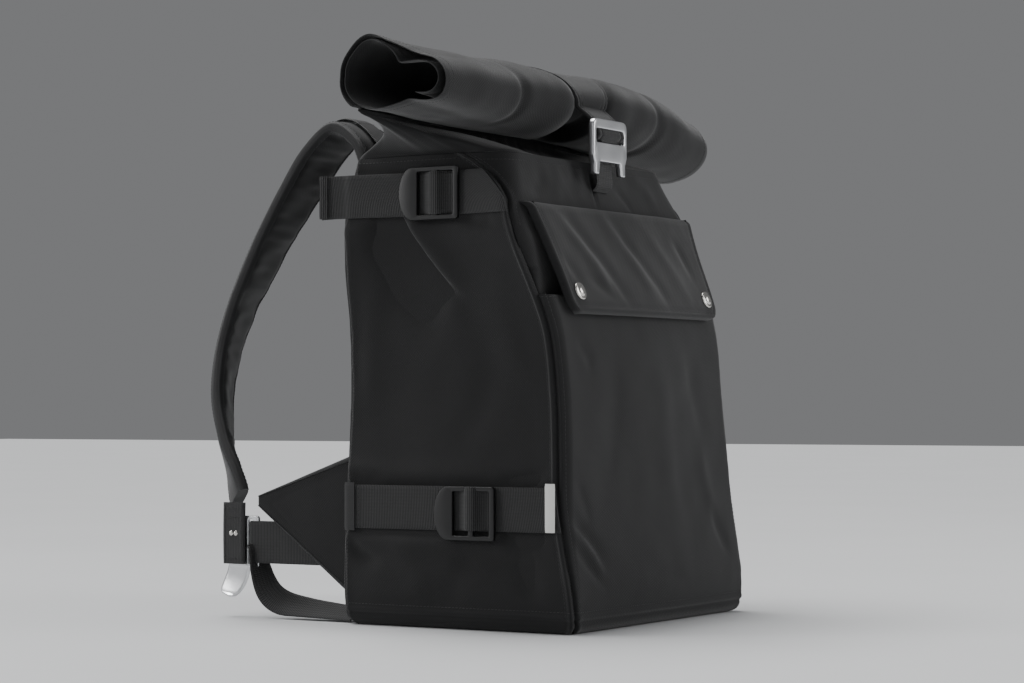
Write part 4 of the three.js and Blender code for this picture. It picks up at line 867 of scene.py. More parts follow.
# rise (share of the way up), blend to the pressed mouth at the front, and at the sides and back
COLLAR_ROWS = [(0, 0, 0), (0.1, 0.2, 0.04), (0.3, 0.66, 0.24), (0.55, 0.92, 0.52), (0.8, 1, 0.84), (0.9, 1, 1),
               (1, 1, 1)]
COLLAR_RISE_COUNT = 30
ring_half = []
shoulder = outline(SHOULDER)
for part, count in (("front", 90), ("side", 50), ("back", 80)):
    ring_half.append(np.column_stack(along_outline(shoulder, part, np.linspace(0, 1, count))))
half_ring = np.concatenate([ring_half[0], ring_half[1][1:], ring_half[2][1:]])
walked = np.concatenate([[0], np.cumsum(np.linalg.norm(np.diff(half_ring, axis=0), axis=1))])
even = np.linspace(0, walked[-1], 150)
half_ring = np.column_stack([np.interp(even, walked, half_ring[:, k]) for k in (0, 1)])
walked = even
middle = walked[-1] * 0.5
reach = ROLL_LENGTH / 2 - NECK_TIP


def neck_of(distance):
    """Where a point of the half ring, by its distance from the front's middle, goes in the pressed mouth."""
    ahead = distance <= middle
    share = np.where(ahead, distance / middle, (walked[-1] - distance) / (walked[-1] - middle))
    bulge = NECK_THICK / 2 * np.sqrt(np.maximum(1 - np.abs(share) ** 6, 0)) * np.where(ahead, -1, 1)
    return np.column_stack([share * reach, NECK_Y + bulge])


def under_roll(x, y):
    """The lowest of the roll's underside near a place."""
    across = np.repeat(np.clip(x / (ROLL_LENGTH / 2), -1, 1)[:, None], 91, axis=1)
    turns = np.repeat(np.linspace(-0.5, 0.1, 91)[None], len(x), axis=0)
    wound = ROLL_PITCH * (turns - NECK_TURN + (turns < NECK_TURN))
    probe = roll_points(across, turns, wound - roll_dents(across, turns))
    near = np.abs(probe[..., 1] - y[:, None]) < 0.006
    return np.where(near, probe[..., 2], 9).min(axis=1)


neck = neck_of(walked)
full = np.concatenate([half_ring, (half_ring * [-1, 1])[-2:0:-1]])
neck_full = np.concatenate([neck, (neck * [-1, 1])[-2:0:-1]])
rises = np.linspace(0, 1, COLLAR_RISE_COUNT)
front_blend, rear_blend = smooth_table(COLLAR_ROWS)(rises)
at_front = eased((0.115 - np.abs(full[:, 0])) / 0.05) * (full[:, 1] < 0)
grid = []
for rise, ahead, behind in zip(rises, front_blend, rear_blend):
    blend = (behind + (ahead - behind) * at_front)[:, None]
    plan = full + (neck_full - full) * blend
    roof = np.minimum(under_roll(neck_full[:, 0], neck_full[:, 1]), 9)
    z = SHOULDER + GAP + (roof - SHOULDER - 0.001) * rise
    if rise < 0.97:
        z = np.minimum(z, np.maximum(under_roll(plan[:, 0], plan[:, 1]) - 0.0022, SHOULDER + GAP))
    grid.append(np.column_stack([plan, z]))
grid = np.array(grid)
flat = flat_lengths(grid)
level = np.linspace(0, 1, len(grid))[:, None] * np.ones(grid.shape[:2])
angle = np.arctan2(grid[0, :, 1], grid[0, :, 0])[None] * np.ones(grid.shape[:2])
folds = 1.6 * ripple(np.stack([np.cos(angle) * 0.3, np.sin(angle) * 0.3, level * 0.03], axis=2), 0.045, 61)
folds += 0.6 * ripple(np.stack([np.cos(angle) * 0.3, np.sin(angle) * 0.3, level * 0.02], axis=2), 0.02, 62)
folds *= np.sin(np.pi * np.clip(level, 0, 1)) ** 0.7
normal = outward_normals(grid, np.array([0, 0.02, 0.42]))
outer = grid + normal * (folds / 1000)[..., None]
collar = cloth_piece("collar_cloth", outer, outer - normal * 0.0016, flat, pack_cloth, loop=True)
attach(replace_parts(collar, "collar"), "root")


# ----------------------------------------------------------------------------------------- roll tab
# A tapered tab of the bag's cloth, two layers with turned edges: sewn to the back, up behind the roll and over
# it, pressed into the valley between the lobes, its narrow end drawn into the hook's slot.
BACK_TOP = outline(SHOULDER).back
HOOK_TOP, HOOK_FRONT, HOOK_THICK, HOOK_RAIL, HOOK_SLOT = 0.448, 0.066, 0.006, 0.009, 0.012
TAB_COLUMNS = 61
TAB_ACROSS = np.linspace(-1, 1, TAB_COLUMNS)


def smooth_path(points, step):
    """Points at even steps along a smooth curve through the ones given; every column is carried along."""
    points = np.array(points, float)
    at = np.concatenate([[0], np.linalg.norm(np.diff(points[:, :3], axis=0), axis=1).cumsum()])
    fine = smooth_table(np.column_stack([at, points]))(np.linspace(0, at[-1], 400)).T
    walked = np.concatenate([[0], np.linalg.norm(np.diff(fine[:, :3], axis=0), axis=1).cumsum()])
    even = np.linspace(0, walked[-1], max(int(walked[-1] / step), 2) + 1)
    return np.column_stack([np.interp(even, walked, fine[:, k]) for k in range(fine.shape[1])])


def tab_row(width, y, z):
    """A straight row across the tab."""
    return np.column_stack([TAB_ACROSS * width / 2, np.full(TAB_COLUMNS, y), np.full(TAB_COLUMNS, z)])


def tab_middle(share):
    """A row across the tab at a share of its way over the roll."""
    turn = TAB_START + (TAB_END - TAB_START) * share
    v = TAB_ACROSS
    raised = 0.0016 * v ** 4 * (v < 0) - 0.0004 * (v > 0.8)
    return roll_points(v * tab_half(turn) * 2 / ROLL_LENGTH, turn, TAB_SINK - raised)


over = [tab_middle(s) for s in np.linspace(0, 0.97, 110)]
foot = [tab_row(TAB_FOOT, BACK_TOP + 0.001, z) for z in (SHOULDER + 0.0015, SHOULDER + 0.005, SHOULDER + 0.009)]
slot_top = HOOK_TOP - HOOK_RAIL
# Y and height of the tip: down behind the hook, forward through its slot and back under itself
TAB_CURL = [(-0.0562, 0.4475), (-0.0578, 0.4402), (-0.0618, 0.4375), (-0.0648, 0.4352), (-0.0640, 0.4322),
            (-0.0606, 0.4318)]
tip = [tab_row(TAB_TIP, y, z) for y, z in TAB_CURL]
tab_rows = np.array(foot + over[::3] + tip)
tab_paths = [smooth_path(tab_rows[:, k], 0.0026) for k in range(TAB_COLUMNS)]
shortest = min(len(p) for p in tab_paths)
tab_grid = np.stack([p[np.linspace(0, len(p) - 1, shortest).round().astype(int)] for p in tab_paths], axis=1)
flat = flat_lengths(tab_grid)
normal = outward_normals(tab_grid, np.array([0, 0.02, 0.44]))
edge = (np.abs(flat[:, :1, 0]) - np.abs(flat[..., 0])) * 1000
swell = -0.6 * np.exp(-np.square((edge - 6) / 1.3)) - 1.6 * rounded(np.clip(1 - edge / 1.6, 0, 1))
swell += 0.8 * ripple(flat, 0.05, 71) * np.clip(edge / 10, 0, 1)
tab_face = tab_grid + normal * (TAB_THICK + swell / 1000)[..., None]
# Painted highlight along the tab's turned edges.
painted_edge_light = np.exp(-np.square(edge / 2)) * 0.5
roll_tab = cloth_piece("roll_tab_cloth", tab_face, tab_grid, flat, pack_cloth, painted_edge_light=painted_edge_light)
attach(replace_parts(roll_tab, "roll_strap"), "root")
sew(*(inset_line(tab_face[:, ::way], edge[:, ::way], 6, slice(3, -8)) for way in (1, -1)))


# ---------------------------------------------------------------------------------------- roll hook
# Cast aluminium, satin: a thick frame with a slot for the tab above a wide bar, its sides drawing in to two
# short prongs. All its edges are rounded. It catches a loop of webbing that is sewn into the front.
def plate(name, loops, thickness, bevel, matrix, material, steps=4):
    """A plate cut from an outline and its holes, every edge rounded; the matrix puts its flat plan in place."""
    edit = bmesh.new()
    rims = ([], [])
    arc = np.linspace(0, math.pi / 2, steps)
    levels = [(bevel * (1 - math.sin(a)), -thickness / 2 + bevel * (1 - math.cos(a))) for a in arc]
    levels += [(inset, -z) for inset, z in reversed(levels)]
    for k, loop in enumerate(loops):
        points = np.array(loop)
        points = points[np.linalg.norm(points - np.roll(points, 1, axis=0), axis=1) > 1e-5]
        area = (points[:, 0] * np.roll(points[:, 1], -1) - np.roll(points[:, 0], -1) * points[:, 1]).sum()
        if (area > 0) != (k == 0):
            points = points[::-1]
        ahead = np.roll(points, -1, axis=0) - points
        ahead /= np.linalg.norm(ahead, axis=1, keepdims=True)
        inward = np.column_stack([-ahead[:, 1], ahead[:, 0]])
        mitre = inward + np.roll(inward, 1, axis=0)
        mitre /= np.maximum((mitre * inward).sum(1, keepdims=True), 0.5)
        rings = [[edit.verts.new((x, y, z)) for x, y in points + mitre * inset] for inset, z in levels]
        for low, high in zip(rings, rings[1:]):
            for i in range(len(points)):
                j = (i + 1) % len(points)
                edit.faces.new((low[i], low[j], high[j], high[i]))
        for rim, ring in zip(rims, (rings[0], rings[-1])):
            rim.extend(edit.edges.get((ring[i], ring[(i + 1) % len(ring)])) for i in range(len(ring)))
    for rim in rims:
        bmesh.ops.triangle_fill(edit, use_beauty=True, use_dissolve=False, edges=rim)
    bmesh.ops.recalc_face_normals(edit, faces=edit.faces)
    mesh = bpy.data.meshes.new(name)
    edit.to_mesh(mesh)
    edit.free()
    mesh.transform(matrix)
    return settle(name, mesh, material, 35)


def rounded_corners(corners, steps=6):
    """A closed outline with each of its corners, (x, y, radius), rounded."""
    made, count = [], len(corners)
    for i, (x, y, radius) in enumerate(corners):
        here, last, after = (np.array(corners[(i + k) % count][:2], float) for k in (0, -1, 1))
        to_last, to_next = last - here, after - here
        u, v = to_last / np.linalg.norm(to_last), to_next / np.linalg.norm(to_next)
        half_angle = math.acos(np.clip(u @ v, -1, 1)) / 2
        longest = min(np.linalg.norm(to_last), np.linalg.norm(to_next)) * 0.49
        cut = min(radius / max(math.tan(half_angle), 0.05), longest)
        for t in np.linspace(0, 1, steps if radius > 0 else 1):
            made.append(tuple((1 - t)**2 * (here + u * cut) + 2 * t * (1 - t) * here + t**2 * (here + v * cut)))
    return made


# corner across (share of half the width), height from the hook's foot (share of its height), radius in mm
HOOK_CORNERS = [
    (-0.9, 0.0, 1.9), (-0.66, 0.0, 1.9), (-0.6, 0.23, 1), (0.6, 0.23, 1), (0.66, 0, 1.9), (0.9, 0.0, 1.9),
    (0.9, 0.2, 1.5), (1, 0.34, 3), (1, 1, 8), (-1, 1, 8), (-1, 0.34, 3), (-0.9, 0.2, 1.5),
]
HOOK_HALF, HOOK_TALL, SLOT_HALF, SLOT_ROUND = 0.030, 0.050, 0.0245, 0.0022
hook_outer = rounded_corners([(x * HOOK_HALF, HOOK_TOP - HOOK_TALL * (1 - z), r / 1000)
                              for x, z, r in HOOK_CORNERS])
slot_foot = slot_top - HOOK_SLOT
hook_slot = rounded_corners([(-SLOT_HALF, slot_foot, SLOT_ROUND), (SLOT_HALF, slot_foot, SLOT_ROUND),
                             (SLOT_HALF, slot_top, SLOT_ROUND), (-SLOT_HALF, slot_top, SLOT_ROUND)])
upright = Matrix.Translation((0, -HOOK_FRONT + HOOK_THICK / 2, 0)) @ Matrix.Rotation(math.pi / 2, 4, "X")
hook = plate("roll_hook_metal", [hook_outer, hook_slot], HOOK_THICK, 0.0014, upright, satin_aluminium)
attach(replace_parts(hook, "roll_hook"), "root")


# ------------------------------------------------------------------------------------- front webbing
# Ribbed nylon webbing, doubled: sewn in under the slit of the front, it rises behind the hook's bar and turns
# over the bar's edge.
def webbing(name, hex_dark, hex_light, rib_mm=1.7):
    """Flat webbing: ribs across it, rows of threads along it, a slight nylon shine on the ribs' crowns."""
    material, tree, shader = finish_named(name)
    flat = add(tree, "ShaderNodeUVMap", uv_map="cloth").outputs["UV"]
    parts = add(tree, "ShaderNodeSeparateXYZ", {"Vector": flat}).outputs
    along = add(tree, "ShaderNodeMath", {0: parts["X"], 1: 2 * math.pi * 1000 / rib_mm}, operation="MULTIPLY")
    across = add(tree, "ShaderNodeMath", {0: parts["Y"], 1: math.pi * 1000 / 1.5}, operation="MULTIPLY")
    ribs = add(tree, "ShaderNodeMath", {0: along.outputs[0]}, operation="SINE").outputs[0]
    rows = add(tree, "ShaderNodeMath", {0: across.outputs[0]}, operation="SINE").outputs[0]
    height = add(tree, "ShaderNodeMath", {0: rows, 1: 0.35, 2: ribs}, operation="MULTIPLY_ADD").outputs[0]
    relief = add(tree, "ShaderNodeBump", {"Height": height, "Strength": 0.5, "Distance": 0.0004})
    cloudy = add(tree, "ShaderNodeTexNoise", {"Vector": flat, "Scale": 30.0, "Detail": 3.0}).outputs["Fac"]
    crown = add(tree, "ShaderNodeMath", {0: height, 1: 0.25, 2: cloudy}, operation="MULTIPLY_ADD",
                use_clamp=True)
    tone = add(tree, "ShaderNodeMix", {0: crown.outputs[0], 6: linear(hex_dark), 7: linear(hex_light)},
               data_type="RGBA")
    tree.links.new(tone.outputs[2], shader.inputs["Base Color"])
    tree.links.new(relief.outputs["Normal"], shader.inputs["Normal"])
    shader.inputs["Roughness"].default_value = 0.62
    shader.inputs["Sheen Weight"].default_value = 0.15
    return material


# Strap webbing of filament nylon, ribbed across: as dark as the bag's cloth and a little shinier.
strap_webbing = webbing("strap_webbing_nylon", "0A0A0B", "171718")


def close_at_edges(columns):
    """Places across a band, -1 to 1, closer together towards its edges."""
    even = np.linspace(-1, 1, columns)
    return np.sign(even) * np.abs(even) ** 0.7


def strip(name, path, across, width, thickness, material, edge=0.0006, columns=13, start=None, sewn=()):
    """A flat band along a path. Across: the way its width lies; start: how far along each column begins; sewn:
    where rows of stitches cross it, from its start, or with a minus from its end."""
    path, across = np.array(path), np.broadcast_to(np.array(across, float), (len(path), 3)).copy()
    along = np.gradient(path, axis=0)
    along /= np.linalg.norm(along, axis=1, keepdims=True)
    across -= along * (across * along).sum(1, keepdims=True)
    across /= np.linalg.norm(across, axis=1, keepdims=True)
    up = np.cross(across, along)
    width, thickness = (np.broadcast_to(v, len(path)).astype(float) for v in (width, thickness))
    v = close_at_edges(columns)
    thin = 1 - rounded(np.clip(1 - (1 - np.abs(v))[None] * width[:, None] / 2 / edge, 0, 1)) * 0.8
    middle = path[:, None] + across[:, None] * (v[None] * width[:, None] / 2)[..., None]
    side = up[:, None] * (thickness[:, None] / 2 * thin)[..., None]
    walked = np.concatenate([[0], np.linalg.norm(np.diff(path, axis=0), axis=1).cumsum()])
    if start is not None:
        for j, cut in enumerate(start):
            at = cut + (walked[-1] - cut) * walked / walked[-1]
            middle[:, j] = np.column_stack([np.interp(at, walked, middle[:, j, k].copy()) for k in range(3)])
    flat = np.stack([np.repeat(walked[:, None], columns, 1), v[None] * width[:, None] / 2], axis=2)
    for at in sewn:
        row = np.abs(walked - (at if at >= 0 else walked[-1] + at)).argmin()
        sew((middle + side * 1.05)[row, 1:-1])
    return cloth_piece(name, middle + side, middle - side, flat, material)


bar_top = slot_foot
gap = HOOK_THICK / 2 + 0.0004 + 0.001
hook_y = -HOOK_FRONT + HOOK_THICK / 2
seat = front_at(outline(0.372), 0) - 0.0022
loop = [(0, seat + 0.004, 0.384), (0, seat, 0.3895), (0, (seat + hook_y + gap) / 2, 0.4), (0, hook_y + gap, 0.413),
        (0, hook_y + gap, bar_top - 0.004)]
loop += [(0, hook_y + gap * math.cos(a), bar_top - 0.001 + gap * 0.6 * math.sin(a))
         for a in np.linspace(0, 1.9, 6)]
FRONT_WEB_WIDE = 0.028
front_loop = strip("front_loop_webbing", smooth_path(loop, 0.0012), (1, 0, 0), FRONT_WEB_WIDE, WEB_THICK,
                   strap_webbing)
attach(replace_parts(front_loop, "front_web"), "root")


# ------------------------------------------------------------------------------------ side webbing
# Two straps of 38 mm webbing run round each side. The lower one is sewn in at both seams and bound at its
# rear end; the upper one is sewn in at the front seam only, and its free end stands out behind the back.
BACK = BAG_DEPTH / 2
CORNER_EDGE = BACK - BACK_CORNER * BAG_DEPTH * 0.6
LOCK_Y, LOWER_DROP, FREE_END = {"lower": -0.019, "upper": 0.020}, 0.004, 0.019
SEAT = 0.0008
SEAM_GAP, BAND_COLUMNS, END_SPREAD, TAPE_THICK = 0.0008, 17, 0.0045, 0.0012


def side_reach(y, height, width=WEB_WIDTH):
    """How far out the side stands under a band of webbing."""
    return np.max([side_at(outline(height + s * width), y) for s in (-0.5, -0.25, 0, 0.25, 0.5)], axis=0)


def front_seam_y(height):
    """Where the front corner's seam lies along the side, at a height."""
    o = outline(height)
    return o.front + o.corner_y * (1 - math.cos(min(o.seam, 1) * math.pi / 2))


def side_path(sign, height, places, lift):
    """A path on the bag's side at a height, standing off it by a lift."""
    on = np.minimum(places, CORNER_EDGE)
    reach = side_reach(on, height)
    slope = (side_reach(on + 0.0005, height) - side_reach(on - 0.0005, height)) / 0.001
    slope = np.where(places > CORNER_EDGE, 0, slope)
    away = lift / np.hypot(1, slope)
    return np.column_stack([sign * (reach + away), places - away * slope, np.full(len(places), height)])


def end_spreads(places):
    """How far the upper strap's free end stands away from the bag."""
    return END_SPREAD * np.square(np.clip((places - BACK + 0.004) / 0.02, 0, 1))


# Hem tape: thin twill that binds cut edges, dull and close.
binding_tape = webbing("binding_tape_twill", "0C0C0D", "18181A", 0.9)
for side, sign in (("left", -1), ("right", 1)):
    for level, height in (("lower", LOWER_WEB), ("upper", UPPER_WEB)):
        start = min(front_seam_y(height + s * WEB_WIDTH / 2) for s in (-1, 0, 1)) + SEAM_GAP
        end = CORNER_EDGE if level == "lower" else BACK + FREE_END
        places = np.linspace(start, end, int((end - start) / 0.0024))
        path = side_path(sign, height, places, SEAT + 0.001)
        path[:, 0] += sign * 0.0002 * ripple(np.column_stack([places, places * 0]), 0.02, 81)
        if level == "upper":
            path[:, 0] += sign * end_spreads(places)
            path[:, 2] -= 0.001 * np.square(np.clip((places - BACK) / 0.02, 0, 1))
        starts = [max(front_seam_y(height + share * WEB_WIDTH / 2) + SEAM_GAP - places[0], 0)
                  for share in close_at_edges(BAND_COLUMNS)]
        band = strip(f"{level}_webbing_{side}", smooth_path(path, 0.0024), (0, 0, 1), WEB_WIDTH, WEB_THICK,
                     strap_webbing, columns=BAND_COLUMNS, start=starts,
                     sewn=(-0.009,) if level == "upper" else (-0.012, -0.0145))
        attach(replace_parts(band, f"{level}_strap_{side}"), "root")
        low, high = (end - 0.0072, end - 0.0002) if level == "upper" else (end - 0.0095, end)
        tape_places = np.linspace(low, high, 7)
        tape_path = side_path(sign, height, tape_places, SEAT + 0.0028)
        if level == "upper":
            tape_path[:, 0] += sign * end_spreads(tape_places)
        tape_width = WEB_WIDTH + (0.004 if level == "lower" else 0)
        tape = strip(f"{level}_hem_{side}", tape_path, (0, 0, 1), tape_width, TAPE_THICK,
                     binding_tape if level == "lower" else strap_webbing)
        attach(tape, "root")


# ------------------------------------------------------------------------------------- ladder locks
# Moulded acetal, black and slightly glossy: a frame with two slots and a half round pull at its rear. The
# webbing passes under the frame, up through one slot, over the middle bar and down through the other.
def moulded(name, code, rough):
    """Moulded plastic: an even black with a soft shine and a fine spark-eroded grain."""
    material, tree, shader = finish_named(name)
    place = add(tree, "ShaderNodeTexCoord").outputs["Object"]
    grain = add(tree, "ShaderNodeTexNoise", {"Vector": place, "Scale": 2600.0, "Detail": 2.0}).outputs["Fac"]
    cloudy = add(tree, "ShaderNodeTexNoise", {"Vector": place, "Scale": 90.0, "Detail": 2.0}).outputs["Fac"]
    relief = add(tree, "ShaderNodeBump", {"Height": grain, "Strength": 0.25, "Distance": 0.0001})
    dull = add(tree, "ShaderNodeMapRange", {"Value": cloudy, "To Min": rough - 0.05, "To Max": rough + 0.06})
    tree.links.new(dull.outputs["Result"], shader.inputs["Roughness"])
    tree.links.new(relief.outputs["Normal"], shader.inputs["Normal"])
    shader.inputs["Base Color"].default_value = linear(code)
    return material


# Black acetal, moulded: smoother than the cloth, so its edges catch a soft highlight.
black_acetal = moulded("black_acetal_plastic", "121213", 0.38)
LOCK_LENGTH, LOCK_HEIGHT, LOCK_THICK, LOCK_RAIL, LOCK_PULL = 0.047, 0.046, 0.004, 0.005, 0.014
# turns a plan into a side view: its first way along Y, its second up
FACING_SIDE = Matrix(((0, 0, 1, 0), (1, 0, 0, 0), (0, 1, 0, 0), (0, 0, 0, 1)))
half_l, half_h = LOCK_LENGTH / 2, LOCK_HEIGHT / 2
front_corner = [(-half_l + 0.0026 * (1 - math.cos(a)), -half_h + 0.0026 * (1 - math.sin(a)))
                for a in np.linspace(0, math.pi / 2, 6)]
pull = [(half_l + LOCK_PULL * math.sin(a), -half_h * math.cos(a)) for a in np.linspace(0, math.pi, 30)]
lock_outer = front_corner + pull + [(x, -z) for x, z in reversed(front_corner)]
slot_width = (LOCK_LENGTH - 3 * LOCK_RAIL) / 2
lock_slots = [rounded_corners([(a, -half_h + 0.004, 0.0014), (a + slot_width, -half_h + 0.004, 0.0014),
                               (a + slot_width, half_h - 0.004, 0.0014), (a, half_h - 0.004, 0.0014)])
              for a in (-half_l + LOCK_RAIL, LOCK_RAIL / 2)]

for side, sign in (("left", -1), ("right", 1)):
    for level, height in (("lower", LOWER_WEB - LOWER_DROP), ("upper", UPPER_WEB)):
        y = LOCK_Y[level]
        near = np.linspace(y - LOCK_LENGTH / 2, y + LOCK_LENGTH / 2 + LOCK_PULL, 9)
        x = side_reach(near, height).max() + 0.002 + 0.0012 + LOCK_THICK / 2
        stand = Matrix.Translation((sign * x, y, height)) @ FACING_SIDE
        lock = plate(f"{level}_lock_{side}", [lock_outer] + lock_slots, LOCK_THICK, 0.0009, stand, black_acetal)
        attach(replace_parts(lock, f"ladder_lock_{level}_{side}"), "root")
        web_height = LOWER_WEB if level == "lower" else UPPER_WEB
        below, above = x - LOCK_THICK / 2 - 0.0014, x + LOCK_THICK / 2 + 0.0012
        ladder = [(y - LOCK_LENGTH / 2 + LOCK_RAIL + 0.001, below), (y - 0.0125, below + 0.0006), (y - 0.0068, x),
                  (y - 0.0030, above), (y + 0.0030, above), (y + 0.0068, x), (y + 0.0125, below + 0.0006),
                  (y + LOCK_LENGTH / 2 - LOCK_RAIL - 0.001, below)]
        ladder_path = smooth_path([(sign * out, at, web_height) for at, out in ladder], 0.0013)
        over_bar = strip(f"{level}_lock_webbing_{side}", ladder_path, (0, 0, 1), WEB_WIDTH - 0.0008, 0.0018,
                         strap_webbing)
        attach(over_bar, "root")


# -------------------------------------------------------------------------------------------- label
# A tag of woven white polyester satin ribbon, folded double and sewn in the left front seam. It is blank.
def woven_ribbon(name, code):
    """Close satin ribbon: nearly white, with fine rows of threads and a soft shine."""
    material, tree, shader = finish_named(name)
    flat = add(tree, "ShaderNodeUVMap", uv_map="cloth").outputs["UV"]
    rows = add(tree, "ShaderNodeTexWave", {"Vector": flat, "Scale": 1100.0, "Distortion": 0.6},
               bands_direction="Y")
    relief = add(tree, "ShaderNodeBump", {"Height": rows.outputs["Fac"], "Strength": 0.2, "Distance": 0.0002})
    tree.links.new(relief.outputs["Normal"], shader.inputs["Normal"])
    shader.inputs["Base Color"].default_value = linear(code)
    shader.inputs["Roughness"].default_value = 0.5
    return material


# White satin ribbon, close woven: the one pale thing on the bag's side.
white_ribbon = woven_ribbon("white_satin_ribbon", "E2E2DE")
label_height = LOWER_WEB + 0.002
places = np.linspace(front_seam_y(label_height) + 0.0012, front_seam_y(label_height) + 0.0105, 12)
label_path = side_path(-1, label_height, places, SEAT + 0.0032)
label_path[:, 0] -= 0.0006 * np.sin(np.linspace(0, math.pi, 12))
side_label = strip("blank_label", label_path, (0, 0, 1), 0.041, 0.0009, white_ribbon, edge=0.0003)
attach(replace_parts(side_label, "side_label"), "root")


# ----------------------------------------------------------------------------------- shoulder straps
# Padded straps: foam between two layers of the bag's cloth, bound at both edges with tape. Each is sewn to the
# back below the collar, rises over a crest, bows out behind and hooks on to the wing beside the bag's foot.
STRAP_WIDE, STRAP_THICK, STRAP_REACH, RIGHT_TUCK = 0.062, 0.013, 0.172, 0.052
# out (share of half the bag's width), behind (share of the reach), height (share of the shoulder's),
# twist (share of a quarter turn), width and thickness (shares of the strap's)
STRAP_STATIONS = [
    (0.52, 0.044, 0.925, 0, 0.94, 0.75), (0.52, 0.05, 0.985, 0, 0.96, 0.9), (0.52, 0.11, 1.05, 0, 1, 1),
    (0.52, 0.26, 1.085, 0, 1, 1), (0.535, 0.42, 1.035, 0, 1, 1), (0.55, 0.56, 0.955, 0.03, 1, 1),
    (0.585, 0.69, 0.866, 0.1, 1, 1), (0.625, 0.805, 0.77, 0.16, 1, 1), (0.665, 0.9, 0.676, 0.22, 1, 1),
    (0.705, 0.956, 0.58, 0.27, 1, 1), (0.745, 0.96, 0.483, 0.31, 1, 1), (0.785, 0.91, 0.39, 0.4, 0.94, 1),
    (0.82, 0.83, 0.317, 0.5, 0.82, 0.95), (0.85, 0.77, 0.262, 0.6, 0.66, 0.85),
]
LIFTER_WIDE, UPSTAND_REACH = 0.025, 0.008


def strap_grid(sign, rows, columns=41):
    """The strap's middle surface, upward way, half thickness, places across, flat lengths and path."""
    at = np.linspace(0, len(STRAP_STATIONS) - 1, rows)
    table = smooth_table([(i, *station) for i, station in enumerate(STRAP_STATIONS)])
    out, behind, height, twist, wide, thick = table(at)
    y = BACK + behind * STRAP_REACH
    if sign > 0:
        y = y - RIGHT_TUCK * np.sin(np.pi * at / at[-1])
    thick = thick * STRAP_THICK
    y = np.maximum(y, BACK + 0.0006 + thick / 2)
    path = np.column_stack([sign * out * BAG_WIDTH / 2, y, height * SHOULDER])
    across = np.column_stack([np.cos(twist * np.pi / 2), -sign * np.sin(twist * np.pi / 2), 0 * twist])
    along = np.gradient(path, axis=0)
    along /= np.linalg.norm(along, axis=1, keepdims=True)
    across -= along * (across * along).sum(1, keepdims=True)
    across /= np.linalg.norm(across, axis=1, keepdims=True)
    up = np.cross(across, along)
    v = np.sin(np.linspace(-math.pi / 2, math.pi / 2, columns))
    wide = wide * STRAP_WIDE
    middle = path[:, None] + across[:, None] * (v * wide[:, None] / 2)[..., None]
    walked = np.concatenate([[0], np.linalg.norm(np.diff(path, axis=0), axis=1).cumsum()])
    flat = np.stack([np.repeat(walked[:, None], columns, 1), v * wide[:, None] / 2], axis=2)
    return middle, up[:, None], thick[:, None] / 2, v[None], flat, path


def edge_tape(name, outer, inner, reach, lift, material):
    """Tape folded over the last columns of a piece's two faces."""
    wrap = np.concatenate([outer[:, -reach:], inner[:, :-reach - 1:-1]], axis=1)
    normal = np.cross(np.gradient(wrap, axis=1), np.gradient(wrap, axis=0))
    normal /= np.maximum(np.linalg.norm(normal, axis=2, keepdims=True), 1e-12)
    if (normal * (wrap - wrap[:, [0, -1]].mean(axis=1, keepdims=True))).sum() < 0:
        normal = -normal
    flat = flat_lengths(wrap)[..., ::-1]
    return cloth_piece(name, wrap + normal * lift, wrap + normal * lift * 0.1, flat, material)


for side, sign in (("left", -1), ("right", 1)):
    middle, up, half, v, flat, path = strap_grid(sign, 250)
    pillow = 0.3 + 0.7 * np.sqrt(np.maximum(1 - np.abs(v) ** 4, 0))
    room = np.clip((1 - np.abs(v)) / 0.3, 0, 1)
    ends = np.clip(np.minimum(flat[..., 0], flat[-1, 0, 0] - flat[..., 0]) / 0.03, 0, 1)
    inner_waves = 2.2 * ripple(flat * [1, 0.4], 0.017, 91) + 1.5 * ripple(flat * [1, 0.25], 0.009, 92)
    inner_waves += 1.4 * ripple(flat, 0.05, 93)
    outer_waves = 0.9 * ripple(flat, 0.07, 94) + 0.25 * ripple(flat, 0.02, 95)
    outer = middle + up * (half * pillow + outer_waves * room * ends / 1000)[..., None]
    inner = middle - up * (half * pillow + inner_waves * room * ends / 1000)[..., None]
    strap = cloth_piece(f"shoulder_strap_pad_{side}", outer, inner, flat, pack_cloth)
    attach(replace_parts(strap, f"shoulder_strap_{side}"), "root")
    for edge, faces in (("a", (outer, inner)), ("b", (outer[:, ::-1], inner[:, ::-1]))):
        tape = edge_tape(f"strap_edge_{edge}_{side}", *faces, 8, 0.0007, binding_tape)
        sew(faces[0][4:-4, -7] + up[4:-4, 0] * 0.0008, faces[1][4:-4, -7] - up[4:-4, 0] * 0.0008)
        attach(tape, "root")

    # Lifter: webbing sewn in at the bag's top edge that lies along the strap's crest, its end hemmed.
    step = (len(path) - 1) / 26
    rows = np.arange(int(4 * step), int(10 * step) + 1, 3)
    crest = (path[:, None] + up * (half + 0.0024)[..., None])[rows, 0]
    crest[:, 0] = path[rows, 0]
    feet = [(crest[0][0], BACK_TOP + 0.0014, SHOULDER + z) for z in (0.0016, UPSTAND_REACH)]
    lifter = strip(f"lifter_webbing_{side}", smooth_path(feet + crest.tolist(), 0.0024), (1, 0, 0), LIFTER_WIDE,
                   WEB_THICK, strap_webbing, sewn=(-0.004, -0.016, 0.05))
    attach(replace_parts(lifter, f"lifter_web_{side}"), "root")


